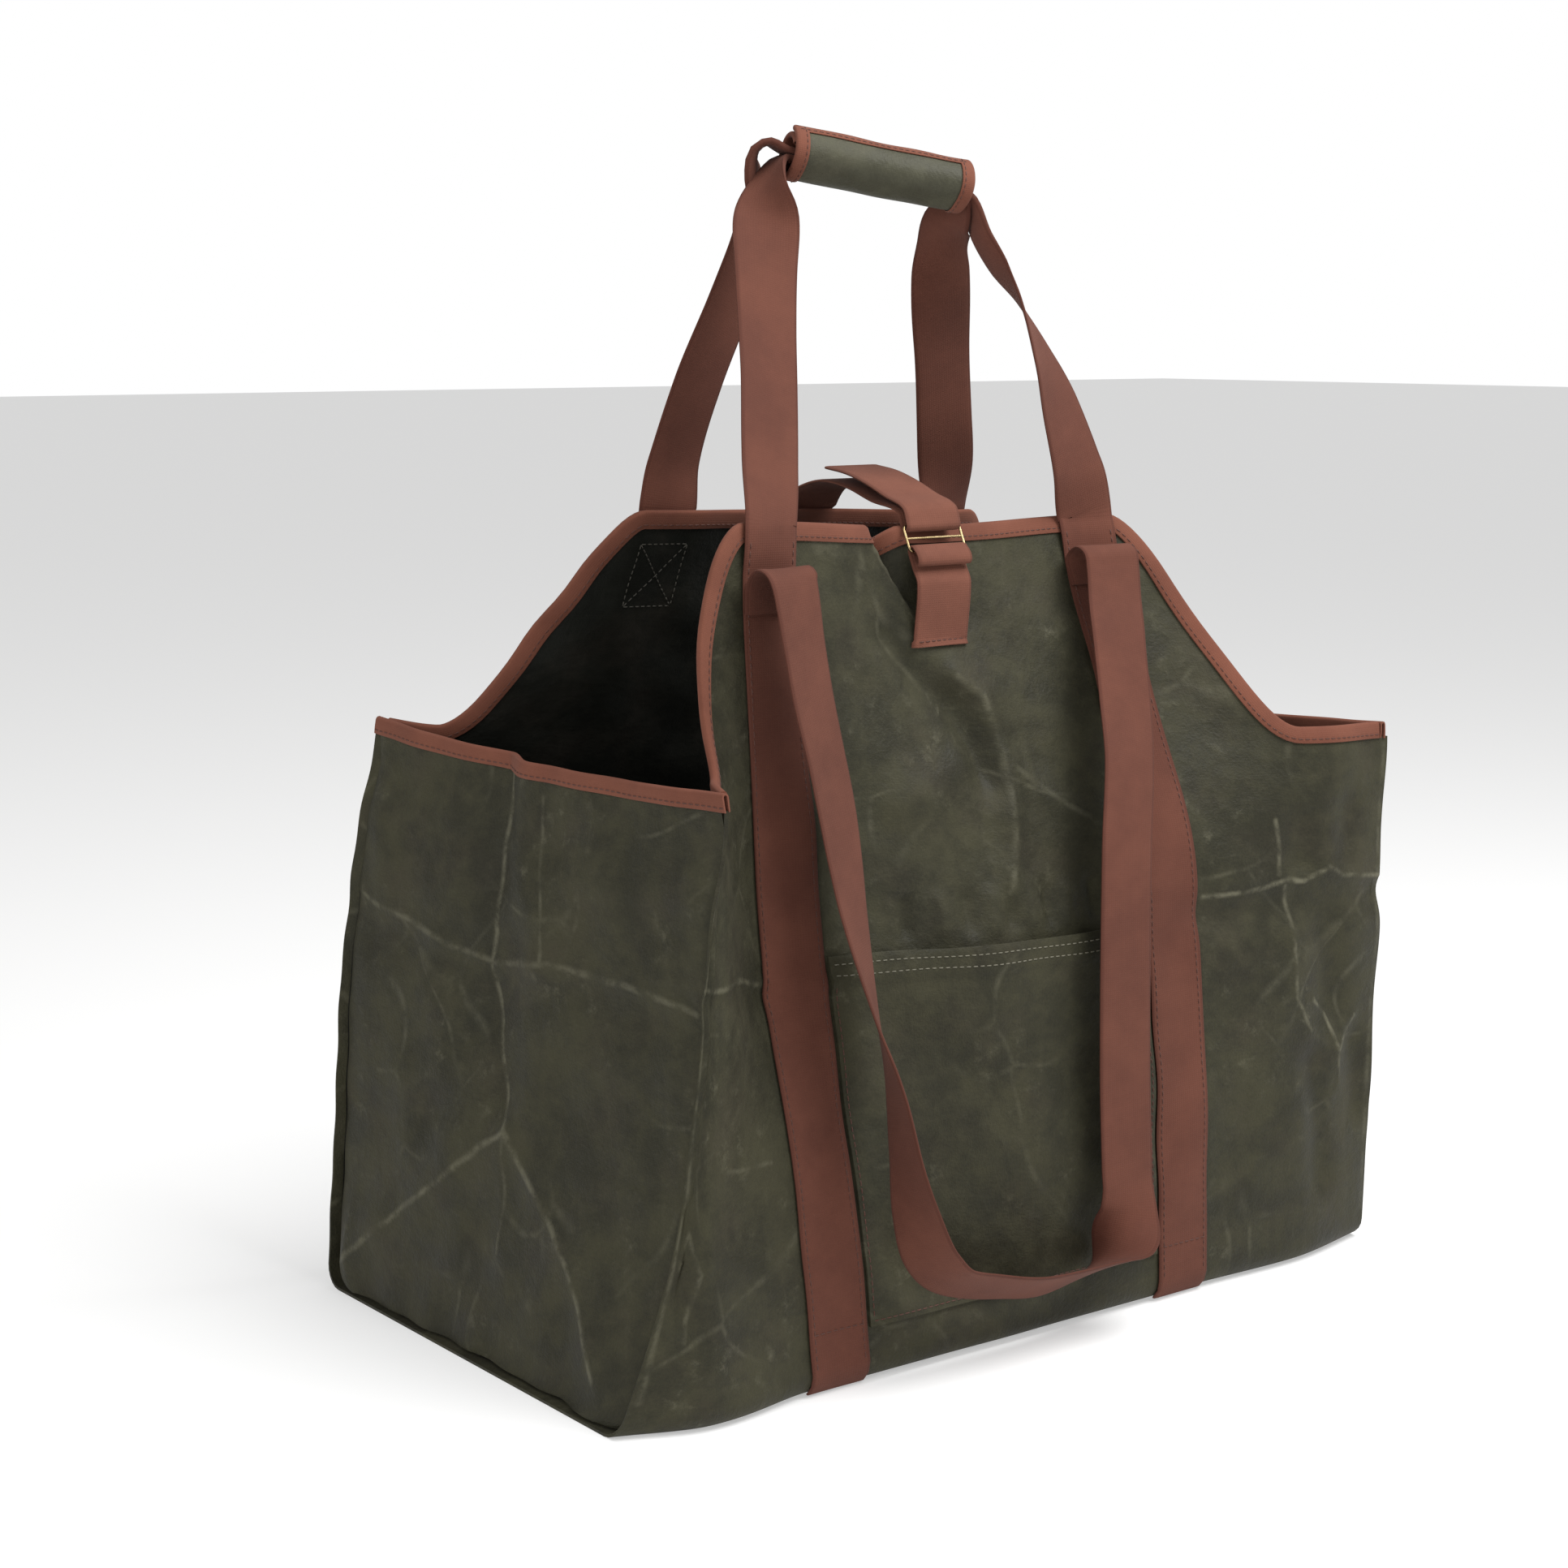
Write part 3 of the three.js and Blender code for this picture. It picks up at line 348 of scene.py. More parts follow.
def makePiece(name, points, faces, cloth, finishes, node=None, numbers=None):
    corner = points[faces]
    volume = np.sum(corner[:, 0] * np.cross(corner[:, 1], corner[:, 2]))
    volume += np.sum(corner[:, 0] * np.cross(corner[:, 2], corner[:, 3]))
    if volume < 0:
        faces = faces[:, ::-1]
    mesh = bpy.data.meshes.new(name)
    mesh.from_pydata(((points + [bagShift, 0, 0]) * mm).tolist(), [], faces.tolist())
    layer = mesh.uv_layers.new(name="cloth")
    vertex = np.empty(len(mesh.loops), np.int32)
    mesh.loops.foreach_get("vertex_index", vertex)
    layer.data.foreach_set("uv", (cloth[vertex] * mm).ravel().astype(np.float32))
    mesh.polygons.foreach_set("use_smooth", np.ones(len(faces), bool))
    for finish in finishes:
        mesh.materials.append(finish)
    if numbers is not None:
        mesh.polygons.foreach_set("material_index", numbers.astype(np.int32))
    mesh.update()
    mesh.set_sharp_from_angle(angle=sharpFrom)
    piece = bpy.data.objects.new(name, mesh)
    bpy.context.scene.collection.objects.link(piece)
    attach(piece, "root")
    if node:
        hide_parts(node)


# A piece of canvas: a closed sheet on a grid. Zones number the finishes on its first and its second side
def makeCloth(name, grid, normals, cloth, finishes, node, outward=canvas / 2, zones=(0, 1), place=np.asarray):
    rows, columns = grid.shape[:2]
    count = rows * columns
    outer = grid + normals * np.broadcast_to(outward, grid.shape[:2])[..., None]
    inner = grid - normals * (canvas / 2)
    points = place(np.concatenate([outer.reshape(-1, 3), inner.reshape(-1, 3)]))
    index = np.arange(count).reshape(rows, columns)
    corners = [index[:-1, :-1], index[1:, :-1], index[1:, 1:], index[:-1, 1:]]
    top = np.stack(corners, -1).reshape(-1, 4)
    bottom = np.stack(corners[::-1], -1).reshape(-1, 4) + count
    loop = np.concatenate([index[0, :-1], index[:-1, -1], index[-1, :0:-1], index[:0:-1, 0]])
    ahead = np.roll(loop, -1)
    rim = np.stack([loop, ahead, ahead + count, loop + count], -1)
    faces = np.concatenate([top, bottom, rim])
    sides = [np.broadcast_to(zone, (rows - 1, columns - 1)).ravel() for zone in zones]
    numbers = np.concatenate([*sides, np.zeros(len(rim), int)])
    cloth = np.tile(cloth.reshape(-1, 2), (2, 1))
    makePiece(name, points, faces, cloth, finishes, node, numbers)


# A piece through loops of points, with its weave along it
def makeLoft(name, loops, across, finish, node):
    points, faces = loftSolid(loops)
    wide = np.broadcast_to(across, loops.shape[:2])
    along = np.broadcast_to(lengthAlong(loops.mean(axis=1))[:, None], wide.shape)
    makePiece(name, points, faces, np.stack([wide, along], -1).reshape(-1, 2), [finish], node)


# Nodes that the finishes are made of
def shade(red, green, blue):
    levels = np.array([red, green, blue]) / 255
    linear = np.where(levels <= 0.04045, levels / 12.92, ((levels + 0.055) / 1.055) ** 2.4)
    return (*linear.tolist(), 1.0)


def setInputs(tree, node, inputs):
    for key, value in inputs.items():
        if isinstance(value, bpy.types.NodeSocket):
            tree.links.new(value, node.inputs[key])
        else:
            node.inputs[key].default_value = value


def addNode(tree, kind, inputs=None, **settings):
    node = tree.nodes.new(kind)
    for key, value in settings.items():
        setattr(node, key, value)
    setInputs(tree, node, inputs or {})
    return node


def calc(tree, operation, *values):
    return addNode(tree, "ShaderNodeMath", dict(enumerate(values)), operation=operation).outputs[0]


# A sum of parts, each by its own weight
def weighted(tree, weights, **parts):
    total = 0.0
    for kind, part in parts.items():
        total = calc(tree, "MULTIPLY_ADD", part, weights[kind], total)
    return total


def vectorCalc(tree, operation, *values):
    return addNode(tree, "ShaderNodeVectorMath", dict(enumerate(values)), operation=operation).outputs


def noise(tree, place, scale, detail=3.0, rough=0.5):
    inputs = {"Vector": place, "Scale": scale, "Detail": detail, "Roughness": rough}
    return addNode(tree, "ShaderNodeTexNoise", inputs).outputs


def remap(tree, value, low, high, toLow, toHigh):
    inputs = {"Value": value, "From Min": low, "From Max": high, "To Min": toLow, "To Max": toHigh}
    return addNode(tree, "ShaderNodeMapRange", inputs, interpolation_type="SMOOTHSTEP").outputs[0]


def patches(tree, place, scale, detail, rough, *levels):
    return remap(tree, noise(tree, place, scale, detail, rough)["Fac"], *levels)


# Places moved about by noise, so that lines drawn there wander
def wander(tree, place, scale, detail, rough, middle, reach):
    drift = noise(tree, place, scale, detail, rough)["Color"]
    drift = vectorCalc(tree, "SUBTRACT", drift, (middle,) * 3)["Vector"]
    return vectorCalc(tree, "MULTIPLY_ADD", drift, (reach,) * 3, place)["Vector"]


def blend(tree, share, first, second):
    inputs = {0: share, 6: first, 7: second}
    return addNode(tree, "ShaderNodeMix", inputs, data_type="RGBA").outputs[2]


def ribs(tree, place, direction, pitch):
    scale = 2 * math.pi / 20 / (pitch * mm)  # the wave texture has its own rate of 20
    inputs = {"Vector": place, "Scale": scale, "Distortion": 0.0}
    return addNode(tree, "ShaderNodeTexWave", inputs, bands_direction=direction).outputs["Fac"]


def bumps(tree, height, strength, distance, **under):
    inputs = {"Height": height, "Strength": strength, "Distance": distance, **under}
    return addNode(tree, "ShaderNodeBump", inputs).outputs["Normal"]


# Closeness of a place on the cloth to one crease line, 1 on the line
def creaseGroup():
    group = bpy.data.node_groups.new("creaseMark", "ShaderNodeTree")
    for name in ("Place", "From", "To"):
        group.interface.new_socket(name, in_out="INPUT", socket_type="NodeSocketVector")
    group.interface.new_socket("Width", in_out="INPUT", socket_type="NodeSocketFloat")
    group.interface.new_socket("Mark", in_out="OUTPUT", socket_type="NodeSocketFloat")
    given = group.nodes.new("NodeGroupInput").outputs
    there = vectorCalc(group, "SUBTRACT", given["Place"], given["From"])["Vector"]
    run = vectorCalc(group, "SUBTRACT", given["To"], given["From"])["Vector"]
    ahead = vectorCalc(group, "DOT_PRODUCT", there, run)["Value"]
    whole = vectorCalc(group, "DOT_PRODUCT", run, run)["Value"]
    share = addNode(group, "ShaderNodeMath", {0: ahead, 1: whole}, operation="DIVIDE", use_clamp=True)
    scaled = addNode(group, "ShaderNodeVectorMath", {0: run, "Scale": share.outputs[0]}, operation="SCALE")
    gap = vectorCalc(group, "SUBTRACT", there, scaled.outputs["Vector"])["Vector"]
    away = vectorCalc(group, "LENGTH", gap)["Value"]
    mark = remap(group, away, 0.0, given["Width"], 1.0, 0.0)
    addNode(group, "NodeGroupOutput", {"Mark": mark})
    return group


creaseMark = creaseGroup()


def newFinish(name):
    finish = bpy.data.materials.new(name)
    finish.use_nodes = True
    tree = finish.node_tree
    shader = tree.nodes["Principled BSDF"]
    place = addNode(tree, "ShaderNodeUVMap", uv_map="cloth").outputs["UV"]
    return finish, tree, shader, place


# Waxed canvas. Noise has a scale, a detail and a roughness, and patches also from, to and what these become.
# A bump has a strength and a depth, and rough the share of the tone and what is always there.
earth = {"light": shade(64, 57, 49), "dark": shade(40, 35, 29)}
waxed = {
    "breaks": (60.0, 6.0, 0.68, 0.38, 0.62, 0.12, 1.0),
    "rubbed": (11.0, 4.0, 0.6, 0.42, 0.62, 0.0, 1.0),
    "scuffs": (80.0, 8.0, 0.74, 0.5, 0.74, 0.0, 0.5),
    "worn": (9.0, 3.0, 0.55, 0.45, 0.6, 0.0, 1.0),
    "grain": (620.0, 2.0, 0.7, 0.25, 0.75, 0.0, 1.0),
    "brown": (21.0, 4.0, 0.6, 0.45, 0.7, 0.0, 0.25),
    "clouds": (13.0, 3.0, 0.55),
    "mottle": (55.0, 6.0, 0.68),
    "rumple": (40.0, 5.0, 0.6),
    "creaseWander": {"scale": 30.0, "detail": 4.0, "rough": 0.6, "middle": 0.5, "reach": 0.0045},
    "crackWander": {"scale": 9.0, "detail": 1.0, "rough": 0.5, "middle": 0.0, "reach": 0.09},
    "cracks": {"scale": 13.0, "width": 0.035, "strength": 0.24},
    "toneLevels": (0.76, 1.24, 0.0, 1.0),
    "toneWeights": {"tone": 0.75, "grain": 0.25},
    "heights": {"threads": 0.15, "grain": 0.8, "pale": 0.8},
    "threadPitch": 0.9,
    "rumpleBump": (0.5, 0.004),
    "fineBump": (0.3, 0.0005),
    "rough": (0.16, 0.52),
    "look": {"Specular IOR Level": 0.16, "Sheen Weight": 0.015, "Sheen Roughness": 0.5},
}


# Marks are pale lines rubbed into the wax, and down the seam lips a painted highlight. Columns: width,
# strength, places along the line
def waxedCanvas(name, tones, marks=()):
    finish, tree, shader, place = newFinish(name)

    def patch(kind):
        return patches(tree, place, *waxed[kind])

    def drift(kind):
        return noise(tree, place, *waxed[kind])["Fac"]

    wandering = wander(tree, place, **waxed["creaseWander"])
    breaks = patch("breaks")
    pale = calc(tree, "MULTIPLY", patch("scuffs"), patch("rubbed"))
    inputs = {"Vector": wander(tree, place, **waxed["crackWander"]), "Scale": waxed["cracks"]["scale"]}
    cells = addNode(tree, "ShaderNodeTexVoronoi", inputs, feature="DISTANCE_TO_EDGE").outputs["Distance"]
    cracks = remap(tree, cells, 0.0, waxed["cracks"]["width"], waxed["cracks"]["strength"], 0.0)
    pale = calc(tree, "MAXIMUM", pale, calc(tree, "MULTIPLY", cracks, patch("worn")))
    for width, strength, line in marks:
        ends = [(along * mm, up * mm, 0.0) for along, up in line]
        for start, end in zip(ends[:-1], ends[1:]):
            inputs = {"Place": wandering, "From": start, "To": end, "Width": width * mm}
            crease = addNode(tree, "ShaderNodeGroup", inputs, node_tree=creaseMark).outputs["Mark"]
            pale = calc(tree, "MAXIMUM", pale, calc(tree, "MULTIPLY", crease, strength))
    pale = calc(tree, "MULTIPLY", pale, breaks)
    tone = remap(tree, calc(tree, "ADD", drift("clouds"), drift("mottle")), *waxed["toneLevels"])
    grain = patch("grain")
    mixed = weighted(tree, waxed["toneWeights"], tone=tone, grain=grain)
    cloth = blend(tree, mixed, tones["dark"], tones["light"])
    cloth = blend(tree, patch("brown"), cloth, blend(tree, mixed, earth["dark"], earth["light"]))
    pitch = waxed["threadPitch"]
    threads = calc(tree, "ADD", ribs(tree, place, "X", pitch), ribs(tree, place, "Y", pitch))
    height = weighted(tree, waxed["heights"], threads=threads, grain=grain, pale=pale)
    rumpled = bumps(tree, drift("rumple"), *waxed["rumpleBump"])
    setInputs(tree, shader, {
        "Base Color": blend(tree, pale, cloth, tones["wax"]),
        "Roughness": calc(tree, "MULTIPLY_ADD", tone, *waxed["rough"]),
        "Normal": bumps(tree, height, *waxed["fineBump"], Normal=rumpled),
        **waxed["look"],
    })
    return finish


# Woven strap or tape: ribs across it, a denser edge, faded patches
woven = {
    "faded": (16.0, 6.0, 0.66, 0.32, 0.68, 0.0, 1.0),
    "fuzz": (900.0, 2.0, 0.7),
    "warp": 1.3,  # its pitch for a weft of 1
    "edge": 1.2,
    "toneWeights": {"worn": 0.55, "fuzz": 0.3, "weave": 0.12, "edge": -0.5},
    "heights": {"weave": 1.0, "fuzz": 0.6, "edge": 0.5},
    "bump": (0.25, 0.0004),
    "rough": (0.08, 0.78),
    "look": {"Specular IOR Level": 0.12, "Sheen Weight": 0.03, "Sheen Roughness": 0.6},
}


def wovenStrap(name, tones, pitch, edgeAt):
    finish, tree, shader, place = newFinish(name)
    worn = patches(tree, place, *woven["faded"])
    fuzz = noise(tree, place, *woven["fuzz"])["Fac"]
    weft = ribs(tree, place, "Y", pitch)
    weave = calc(tree, "MULTIPLY", weft, ribs(tree, place, "X", pitch * woven["warp"]))
    offMiddle = calc(tree, "ABSOLUTE", addNode(tree, "ShaderNodeSeparateXYZ", {0: place}).outputs["X"])
    edge = remap(tree, offMiddle, edgeAt * mm, (edgeAt + woven["edge"]) * mm, 0.0, 1.0)
    level = weighted(tree, woven["toneWeights"], worn=worn, fuzz=fuzz, weave=weave, edge=edge)
    height = weighted(tree, woven["heights"], weave=weave, fuzz=fuzz, edge=edge)
    setInputs(tree, shader, {
        "Base Color": blend(tree, level, tones["dark"], tones["light"]),
        "Roughness": calc(tree, "MULTIPLY_ADD", worn, *woven["rough"]),
        "Normal": bumps(tree, height, *woven["bump"]),
        **woven["look"],
    })
    return finish


thread = {
    "pitch": 0.5, "fuzz": 40.0, "toneWeights": {"twist": 0.5, "fuzz": 0.5},
    "rough": (0.3, 0.7, 0.6, 0.8), "bump": (0.3, 0.0002),
}


def sewingThread(name, tones):
    finish, tree, shader, place = newFinish(name)
    twist = ribs(tree, place, "DIAGONAL", thread["pitch"])
    fuzz = noise(tree, place, thread["fuzz"])["Fac"]
    level = weighted(tree, thread["toneWeights"], twist=twist, fuzz=fuzz)
    setInputs(tree, shader, {
        "Base Color": blend(tree, level, tones["dark"], tones["light"]),
        "Roughness": remap(tree, fuzz, *thread["rough"]),
        "Normal": bumps(tree, twist, *thread["bump"]),
    })
    return finish


brass = {
    "scuffs": (220.0, 5.0, 0.7), "tarnish": (60.0, 4.0, 0.5, 0.35, 0.7, 0.0, 1.0),
    "rough": (0.3, 0.7, 0.22, 0.42), "bump": (0.15, 0.0001),
}


def rubbedBrass(name, tones):
    finish, tree, shader, place = newFinish(name)
    scuffs = noise(tree, place, *brass["scuffs"])["Fac"]
    tarnish = patches(tree, place, *brass["tarnish"])
    setInputs(tree, shader, {
        "Base Color": blend(tree, tarnish, tones["light"], tones["dark"]),
        "Roughness": remap(tree, scuffs, *brass["rough"]),
        "Normal": bumps(tree, scuffs, *brass["bump"]),
        "Metallic": 1.0,
    })
    return finish


# Pale lines of each canvas. The back wall's run on past the base, and the ends' are across and up
leftMarks = [
    (2.4, 0.5, leftLevel),
    (2.2, 0.3, leftShort),
    (2.6, 0.4, leftHook),
    # a pale line down the seam lip: painted highlight on the lip's ridge
    (3.5, 0.4, [(-254, 318), (-254, 20)]),
]
middleMarks = [
    (3.0, 0.3, pleatTail),
    (3.0, 0.25, middleSlant),
    (2.2, 0.35, [(-46, 453), (-14, 400)]),
]
rightMarks = [
    (2.6, 0.8, rightLevel),
    (2.4, 0.5, rightRise),
    (2.4, 0.5, rightDrop),
    (2.4, 0.7, [(223, 166), (236, 154), (247, 131), (265, 150)]),
    (2.2, 0.45, rightTail),
    # a pale line down the seam lip: painted highlight on the lip's ridge
    (3.5, 0.3, [(285, 318), (285, 20)]),
]
backMarks = [
    (2.4, 0.5, [(-250, -543), (-155, -541)]),
    (2.4, 0.5, [(155, -541), (268, -545)]),
]
leftEndMarks = [
    (3.0, 0.55, [(190, 326), (184, 290), (186, 211), (167, 165), (148, 127)]),
    (3.2, 0.55, [(148, 127), (313, 9)]),
    (3.2, 0.55, [(148, 127), (77, 70), (35, 21)]),
    (3.0, 0.42, [(313, 233), (217, 218), (183, 214), (124, 223), (57, 222), (8, 216)]),
    (2.2, 0.35, [(148, 127), (143, 98), (142, 62)]),
    (2.2, 0.35, [(153, 314), (129, 222)]),
]
rightEndMarks = [
    (2.6, 0.5, [(150, 330), (157, 125)]),
    (2.6, 0.7, [(157, 125), (308, 10)]),
    (2.6, 0.7, [(157, 125), (5, 10)]),
    (2.4, 0.5, [(6, 224), (150, 219), (307, 224)]),
]
olive = {"light": shade(62, 60, 44), "dark": shade(40, 39, 29), "wax": shade(110, 107, 89)}
paleOlive = {"light": shade(80, 79, 64), "dark": shade(62, 61, 49), "wax": olive["wax"]}
# Inner faces of the canvas: a darker copy of the olive canvas, painted shade for the bag's shadowed inside
shadowed = {"light": shade(25, 26, 21), "dark": shade(18, 19, 15), "wax": shade(40, 38, 33)}
leftCanvas = waxedCanvas("leftCanvas", olive, leftMarks)
middleCanvas = waxedCanvas("middleCanvas", olive, middleMarks)
rightCanvas = waxedCanvas("rightCanvas", olive, rightMarks)
backCanvas = waxedCanvas("backCanvas", olive, backMarks)
leftEndCanvas = waxedCanvas("leftEndCanvas", olive, leftEndMarks)
rightEndCanvas = waxedCanvas("rightEndCanvas", olive, rightEndMarks)
pocketCanvas = waxedCanvas("pocketCanvas", olive)
gripCanvas = waxedCanvas("gripCanvas", paleOlive)
shadedInsideCanvas = waxedCanvas("shadedInsideCanvas", shadowed)
rust = {"light": shade(106, 65, 52), "dark": shade(84, 49, 39)}
paleRust = {"light": shade(122, 77, 62), "dark": shade(98, 60, 48)}
tapeRust = {"light": shade(122, 76, 60), "dark": shade(102, 61, 48)}
strapPitch = 1.2
strapEdge = 16.8  # from the strap's middle
tapePitch = 0.9
noEdge = 60.0  # further out than the tape's own edges
strapWeave = wovenStrap("strapWeave", rust, strapPitch, strapEdge)
closureWeave = wovenStrap("closureWeave", paleRust, strapPitch, strapEdge)
tapeWeave = wovenStrap("tapeWeave", tapeRust, tapePitch, noEdge)
brownThread = sewingThread("brownThread", {"light": shade(92, 56, 45), "dark": shade(66, 38, 30)})
darkThread = sewingThread("darkThread", {"light": shade(72, 69, 60), "dark": shade(48, 46, 39)})
paleThread = sewingThread("paleThread", {"light": shade(124, 120, 104), "dark": shade(92, 89, 76)})
brassMetal = rubbedBrass("brassMetal", {"light": shade(206, 186, 142), "dark": shade(152, 130, 90)})
print("log bag: finishes made")

# Main panel: front wall, base and back wall in one canvas
panelGrid = {"columns": 184, "frontRows": 140, "backRows": 70, "cornerRows": 6, "baseRows": 16}
lipColumns = np.array([0.0, 3.0, 6.0])
lipGap = 2.0  # from the lip to the first column beside it


def wallRows(wall, rows):
    middle = np.linspace(baseLeft + lip + lipGap, baseRight - lip - lipGap, panelGrid["columns"])
    x = np.concatenate([baseLeft + lipColumns, middle, baseRight - lipColumns[::-1]])
    share = np.linspace(0, 1, rows)[:, None]
    up = cornerRadius + (cutHeight(x) - cornerRadius) * share
    corner = np.linspace(0, cornerRadius, panelGrid["cornerRows"])[:-1, None] + np.zeros_like(x)
    up = np.concatenate([corner, up])
    return x, up, wallSurface(wall, x, up)


def buildPanel():
    x, frontUp, front = wallRows(frontWall, panelGrid["frontRows"])
    _, backUp, back = wallRows(backWall, panelGrid["backRows"])
    share = np.linspace(0, 1, panelGrid["baseRows"])[1:-1, None]
    base = front[:1] + (back[:1] - front[:1]) * share[..., None]
    grid = np.concatenate([front[::-1], base, back])
    normals = gridNormals(grid)
    normals[len(front) - 1:len(front) + len(base) + 1] = [0, 0, -1]
    baseUp = np.broadcast_to(-baseDepth * share, base.shape[:2])
    up = np.concatenate([frontUp[::-1], baseUp, -baseDepth - backUp])
    cloth = np.stack(np.broadcast_arrays(x, up), -1)
    finishes = [leftCanvas, middleCanvas, rightCanvas, backCanvas, shadedInsideCanvas]
    along = np.searchsorted([-strapOuter, strapInner], x[:-1], side="right")  # left, middle, right
    outer = np.tile(along, (len(grid) - 1, 1))
    outer[len(front):] = finishes.index(backCanvas)
    # inner faces take the darker canvas with its painted shade, except at the lips
    inner = np.full_like(outer, finishes.index(shadedInsideCanvas))
    inner[:, :len(lipColumns)] = outer[:, :len(lipColumns)]
    inner[:, -len(lipColumns):] = outer[:, -len(lipColumns):]
    makeCloth("bagPanel", grid, normals, cloth, finishes, "main_panel", zones=(outer, inner))


buildPanel()
print("log bag: main panel built")

# End panels. Lines of folds and creases are in shares across, from the front, and up
endGrid = {"columns": 100, "rows": 110}
endWaves = {"count": 14, "longest": 130, "shortest": 32, "height": 0.34}
seam = {"gap": 0.2, "dip": 3.0, "reach": 4.0, "flat": 0.06, "dipEnds": 0.08}
seamInset = canvas + clearance + seam["gap"]
sagPower = 4  # the sag grows towards the end's cut edge
leftStar = (0.475, 0.385)  # where the end's creases meet
leftSpine = [leftStar, (0.535, 0.5), (0.593, 0.64), (0.574, 0.88), (0.632, 1.02)]
leftBackLeg = [leftStar, (1.0, 0.03)]
leftFrontLeg = [leftStar, (0.246, 0.212), (0.1, 0.06)]
leftEnd = {
    "edge": baseLeft + lip, "out": -1, "sag": 6, "bulge": 4,
    "folds": [
        (-6, 0.12, leftSpine),
        (5, 0.05, [(0.44, 0.68), (0.52, 0.86), (0.545, 1.02)]),
        (3, 0.1, leftBackLeg),
        (3, 0.1, leftFrontLeg),
        (-3, 0.06, [(1.0, 0.68), (0.69, 0.63), (0.58, 0.62), (0.4, 0.65), (0.18, 0.65), (0.02, 0.63)]),
    ],
    "creases": [
        (-2.5, 0.03, leftSpine),
        (3, 0.035, leftBackLeg),
        (3, 0.035, leftFrontLeg),
        (2, 0.018, [(1.0, 0.706), (0.69, 0.661), (0.58, 0.648), (0.4, 0.676), (0.18, 0.673), (0.02, 0.655)]),
        (1.5, 0.02, [leftStar, (0.453, 0.188)]),
    ],
    "waves": clothWaves(**endWaves),
}
rightStar = (0.5, 0.38)
rightSpine = [rightStar, (0.48, 1.02)]
rightBackLeg = [rightStar, (0.98, 0.03)]
rightFrontLeg = [rightStar, (0.02, 0.03)]
rightEnd = {
    "edge": baseRight - lip, "out": 1, "sag": 5, "bulge": 6,
    "folds": [
        (-7, 0.14, rightSpine),
        (3, 0.1, rightBackLeg),
        (3, 0.1, rightFrontLeg),
        (-3, 0.06, [(0.02, 0.66), (0.98, 0.66)]),
    ],
    "creases": [
        (-2.5, 0.03, rightSpine),
        (3, 0.035, rightBackLeg),
        (3, 0.035, rightFrontLeg),
        (2, 0.018, [(0.02, 0.68), (0.48, 0.665), (0.98, 0.68)]),
    ],
    "waves": clothWaves(**endWaves),
}


def endSurface(end, across, share):
    across, share = np.broadcast_arrays(np.asarray(across, float), np.asarray(share, float))
    up = share * endHeight
    front = offCloth(frontWall, end["edge"], up, np.full(up.shape, -seamInset))
    back = offCloth(backWall, end["edge"], up, np.full(up.shape, -seamInset))
    point = front + (back - front) * across[..., None]
    belly = end["bulge"] * np.sin(math.pi * across) * np.sin(math.pi * np.clip(share, 0, 1))
    toSeam = np.minimum(across, 1 - across)
    fade = np.clip(toSeam / seam["flat"], 0, 1)
    creased = foldDepth(end, across, share)
    creased = creased + waveHeight(end["waves"], across * baseDepth, up)
    dip = seam["dip"] * np.exp(-np.maximum(toSeam * baseDepth, 0) / seam["reach"])
    dip = dip * smooth((1 - share) / seam["dipEnds"])
    point[..., 0] += end["out"] * (belly + creased * fade - dip)
    point[..., 2] -= end["sag"] * np.sin(math.pi * across) * share ** sagPower
    return point


def endNormal(end, across, share):
    step = 0.003
    across = np.clip(across, step, 1 - step)
    normal = slopeNormal(lambda wide, tall: endSurface(end, wide, tall), across, share, step, step)
    return normal * np.where(normal[..., :1] * end["out"] < 0, -1, 1)


def buildEnd(name, end, finish, node):
    across = np.linspace(0, 1, endGrid["columns"])
    share = np.linspace(0, 1, endGrid["rows"])[:, None]
    grid = endSurface(end, across, share)
    normals = gridNormals(grid)
    normals *= np.sign(np.sum(normals[..., 0])) * end["out"]
    cloth = np.stack(np.broadcast_arrays(across * baseDepth, share * endHeight), -1)
    makeCloth(name, grid, normals, cloth, [finish, shadedInsideCanvas], node)


buildEnd("leftEnd", leftEnd, leftEndCanvas, "left_end_panel")
buildEnd("rightEnd", rightEnd, rightEndCanvas, "right_end_panel")
print("log bag: end panels built")

# Stitches: short threads that dip into the cloth at both ends. A stitch has a pitch, a length and a radius
threadRings = {
    "along": np.array([-1.0, -0.8, 0.0, 0.8, 1.0]),
    "round": np.array([0.35, 0.85, 1.0, 0.85, 0.35]),
    "lift": np.array([-0.7, 0.0, 0.5, 0.0, -0.7]),
}
threadSides = 6
seamPoints = {"wall": 220, "pocket": 120, "short": 30, "tab": 24}  # points that a row is laid through


def stitchRun(points, normals, stitch):
    pitch, length, radius = stitch
    along = lengthAlong(points)
    count = max(int(along[-1] // pitch), 1)
    at = (np.arange(count) + 0.5) * along[-1] / count
    step = 0.4

    def sample(values, places):
        return np.stack([np.interp(places, along, values[:, k]) for k in range(3)], -1)

    middle = sample(points, at)
    tangent = unit(sample(points, at + step) - sample(points, at - step))
    normal = sample(normals, at)
    normal = unit(normal - tangent * np.sum(normal * tangent, axis=-1, keepdims=True))
    side = np.cross(tangent, normal)
    rings = []
    for share, fat, lift in zip(*threadRings.values()):
        centre = middle + tangent * share * length / 2 + normal * lift * radius
        for angle in np.arange(threadSides) * 2 * math.pi / threadSides:
            spoke = side * math.cos(angle) + normal * math.sin(angle)
            rings.append(centre + spoke * fat * radius)
    size = len(rings)
    rings = np.stack(rings, 1)
    _, faces = loftSolid(rings[0].reshape(-1, threadSides, 3))
    faces = faces + np.arange(count)[:, None, None] * size
    return rings.reshape(-1, 3), faces.reshape(-1, 4)


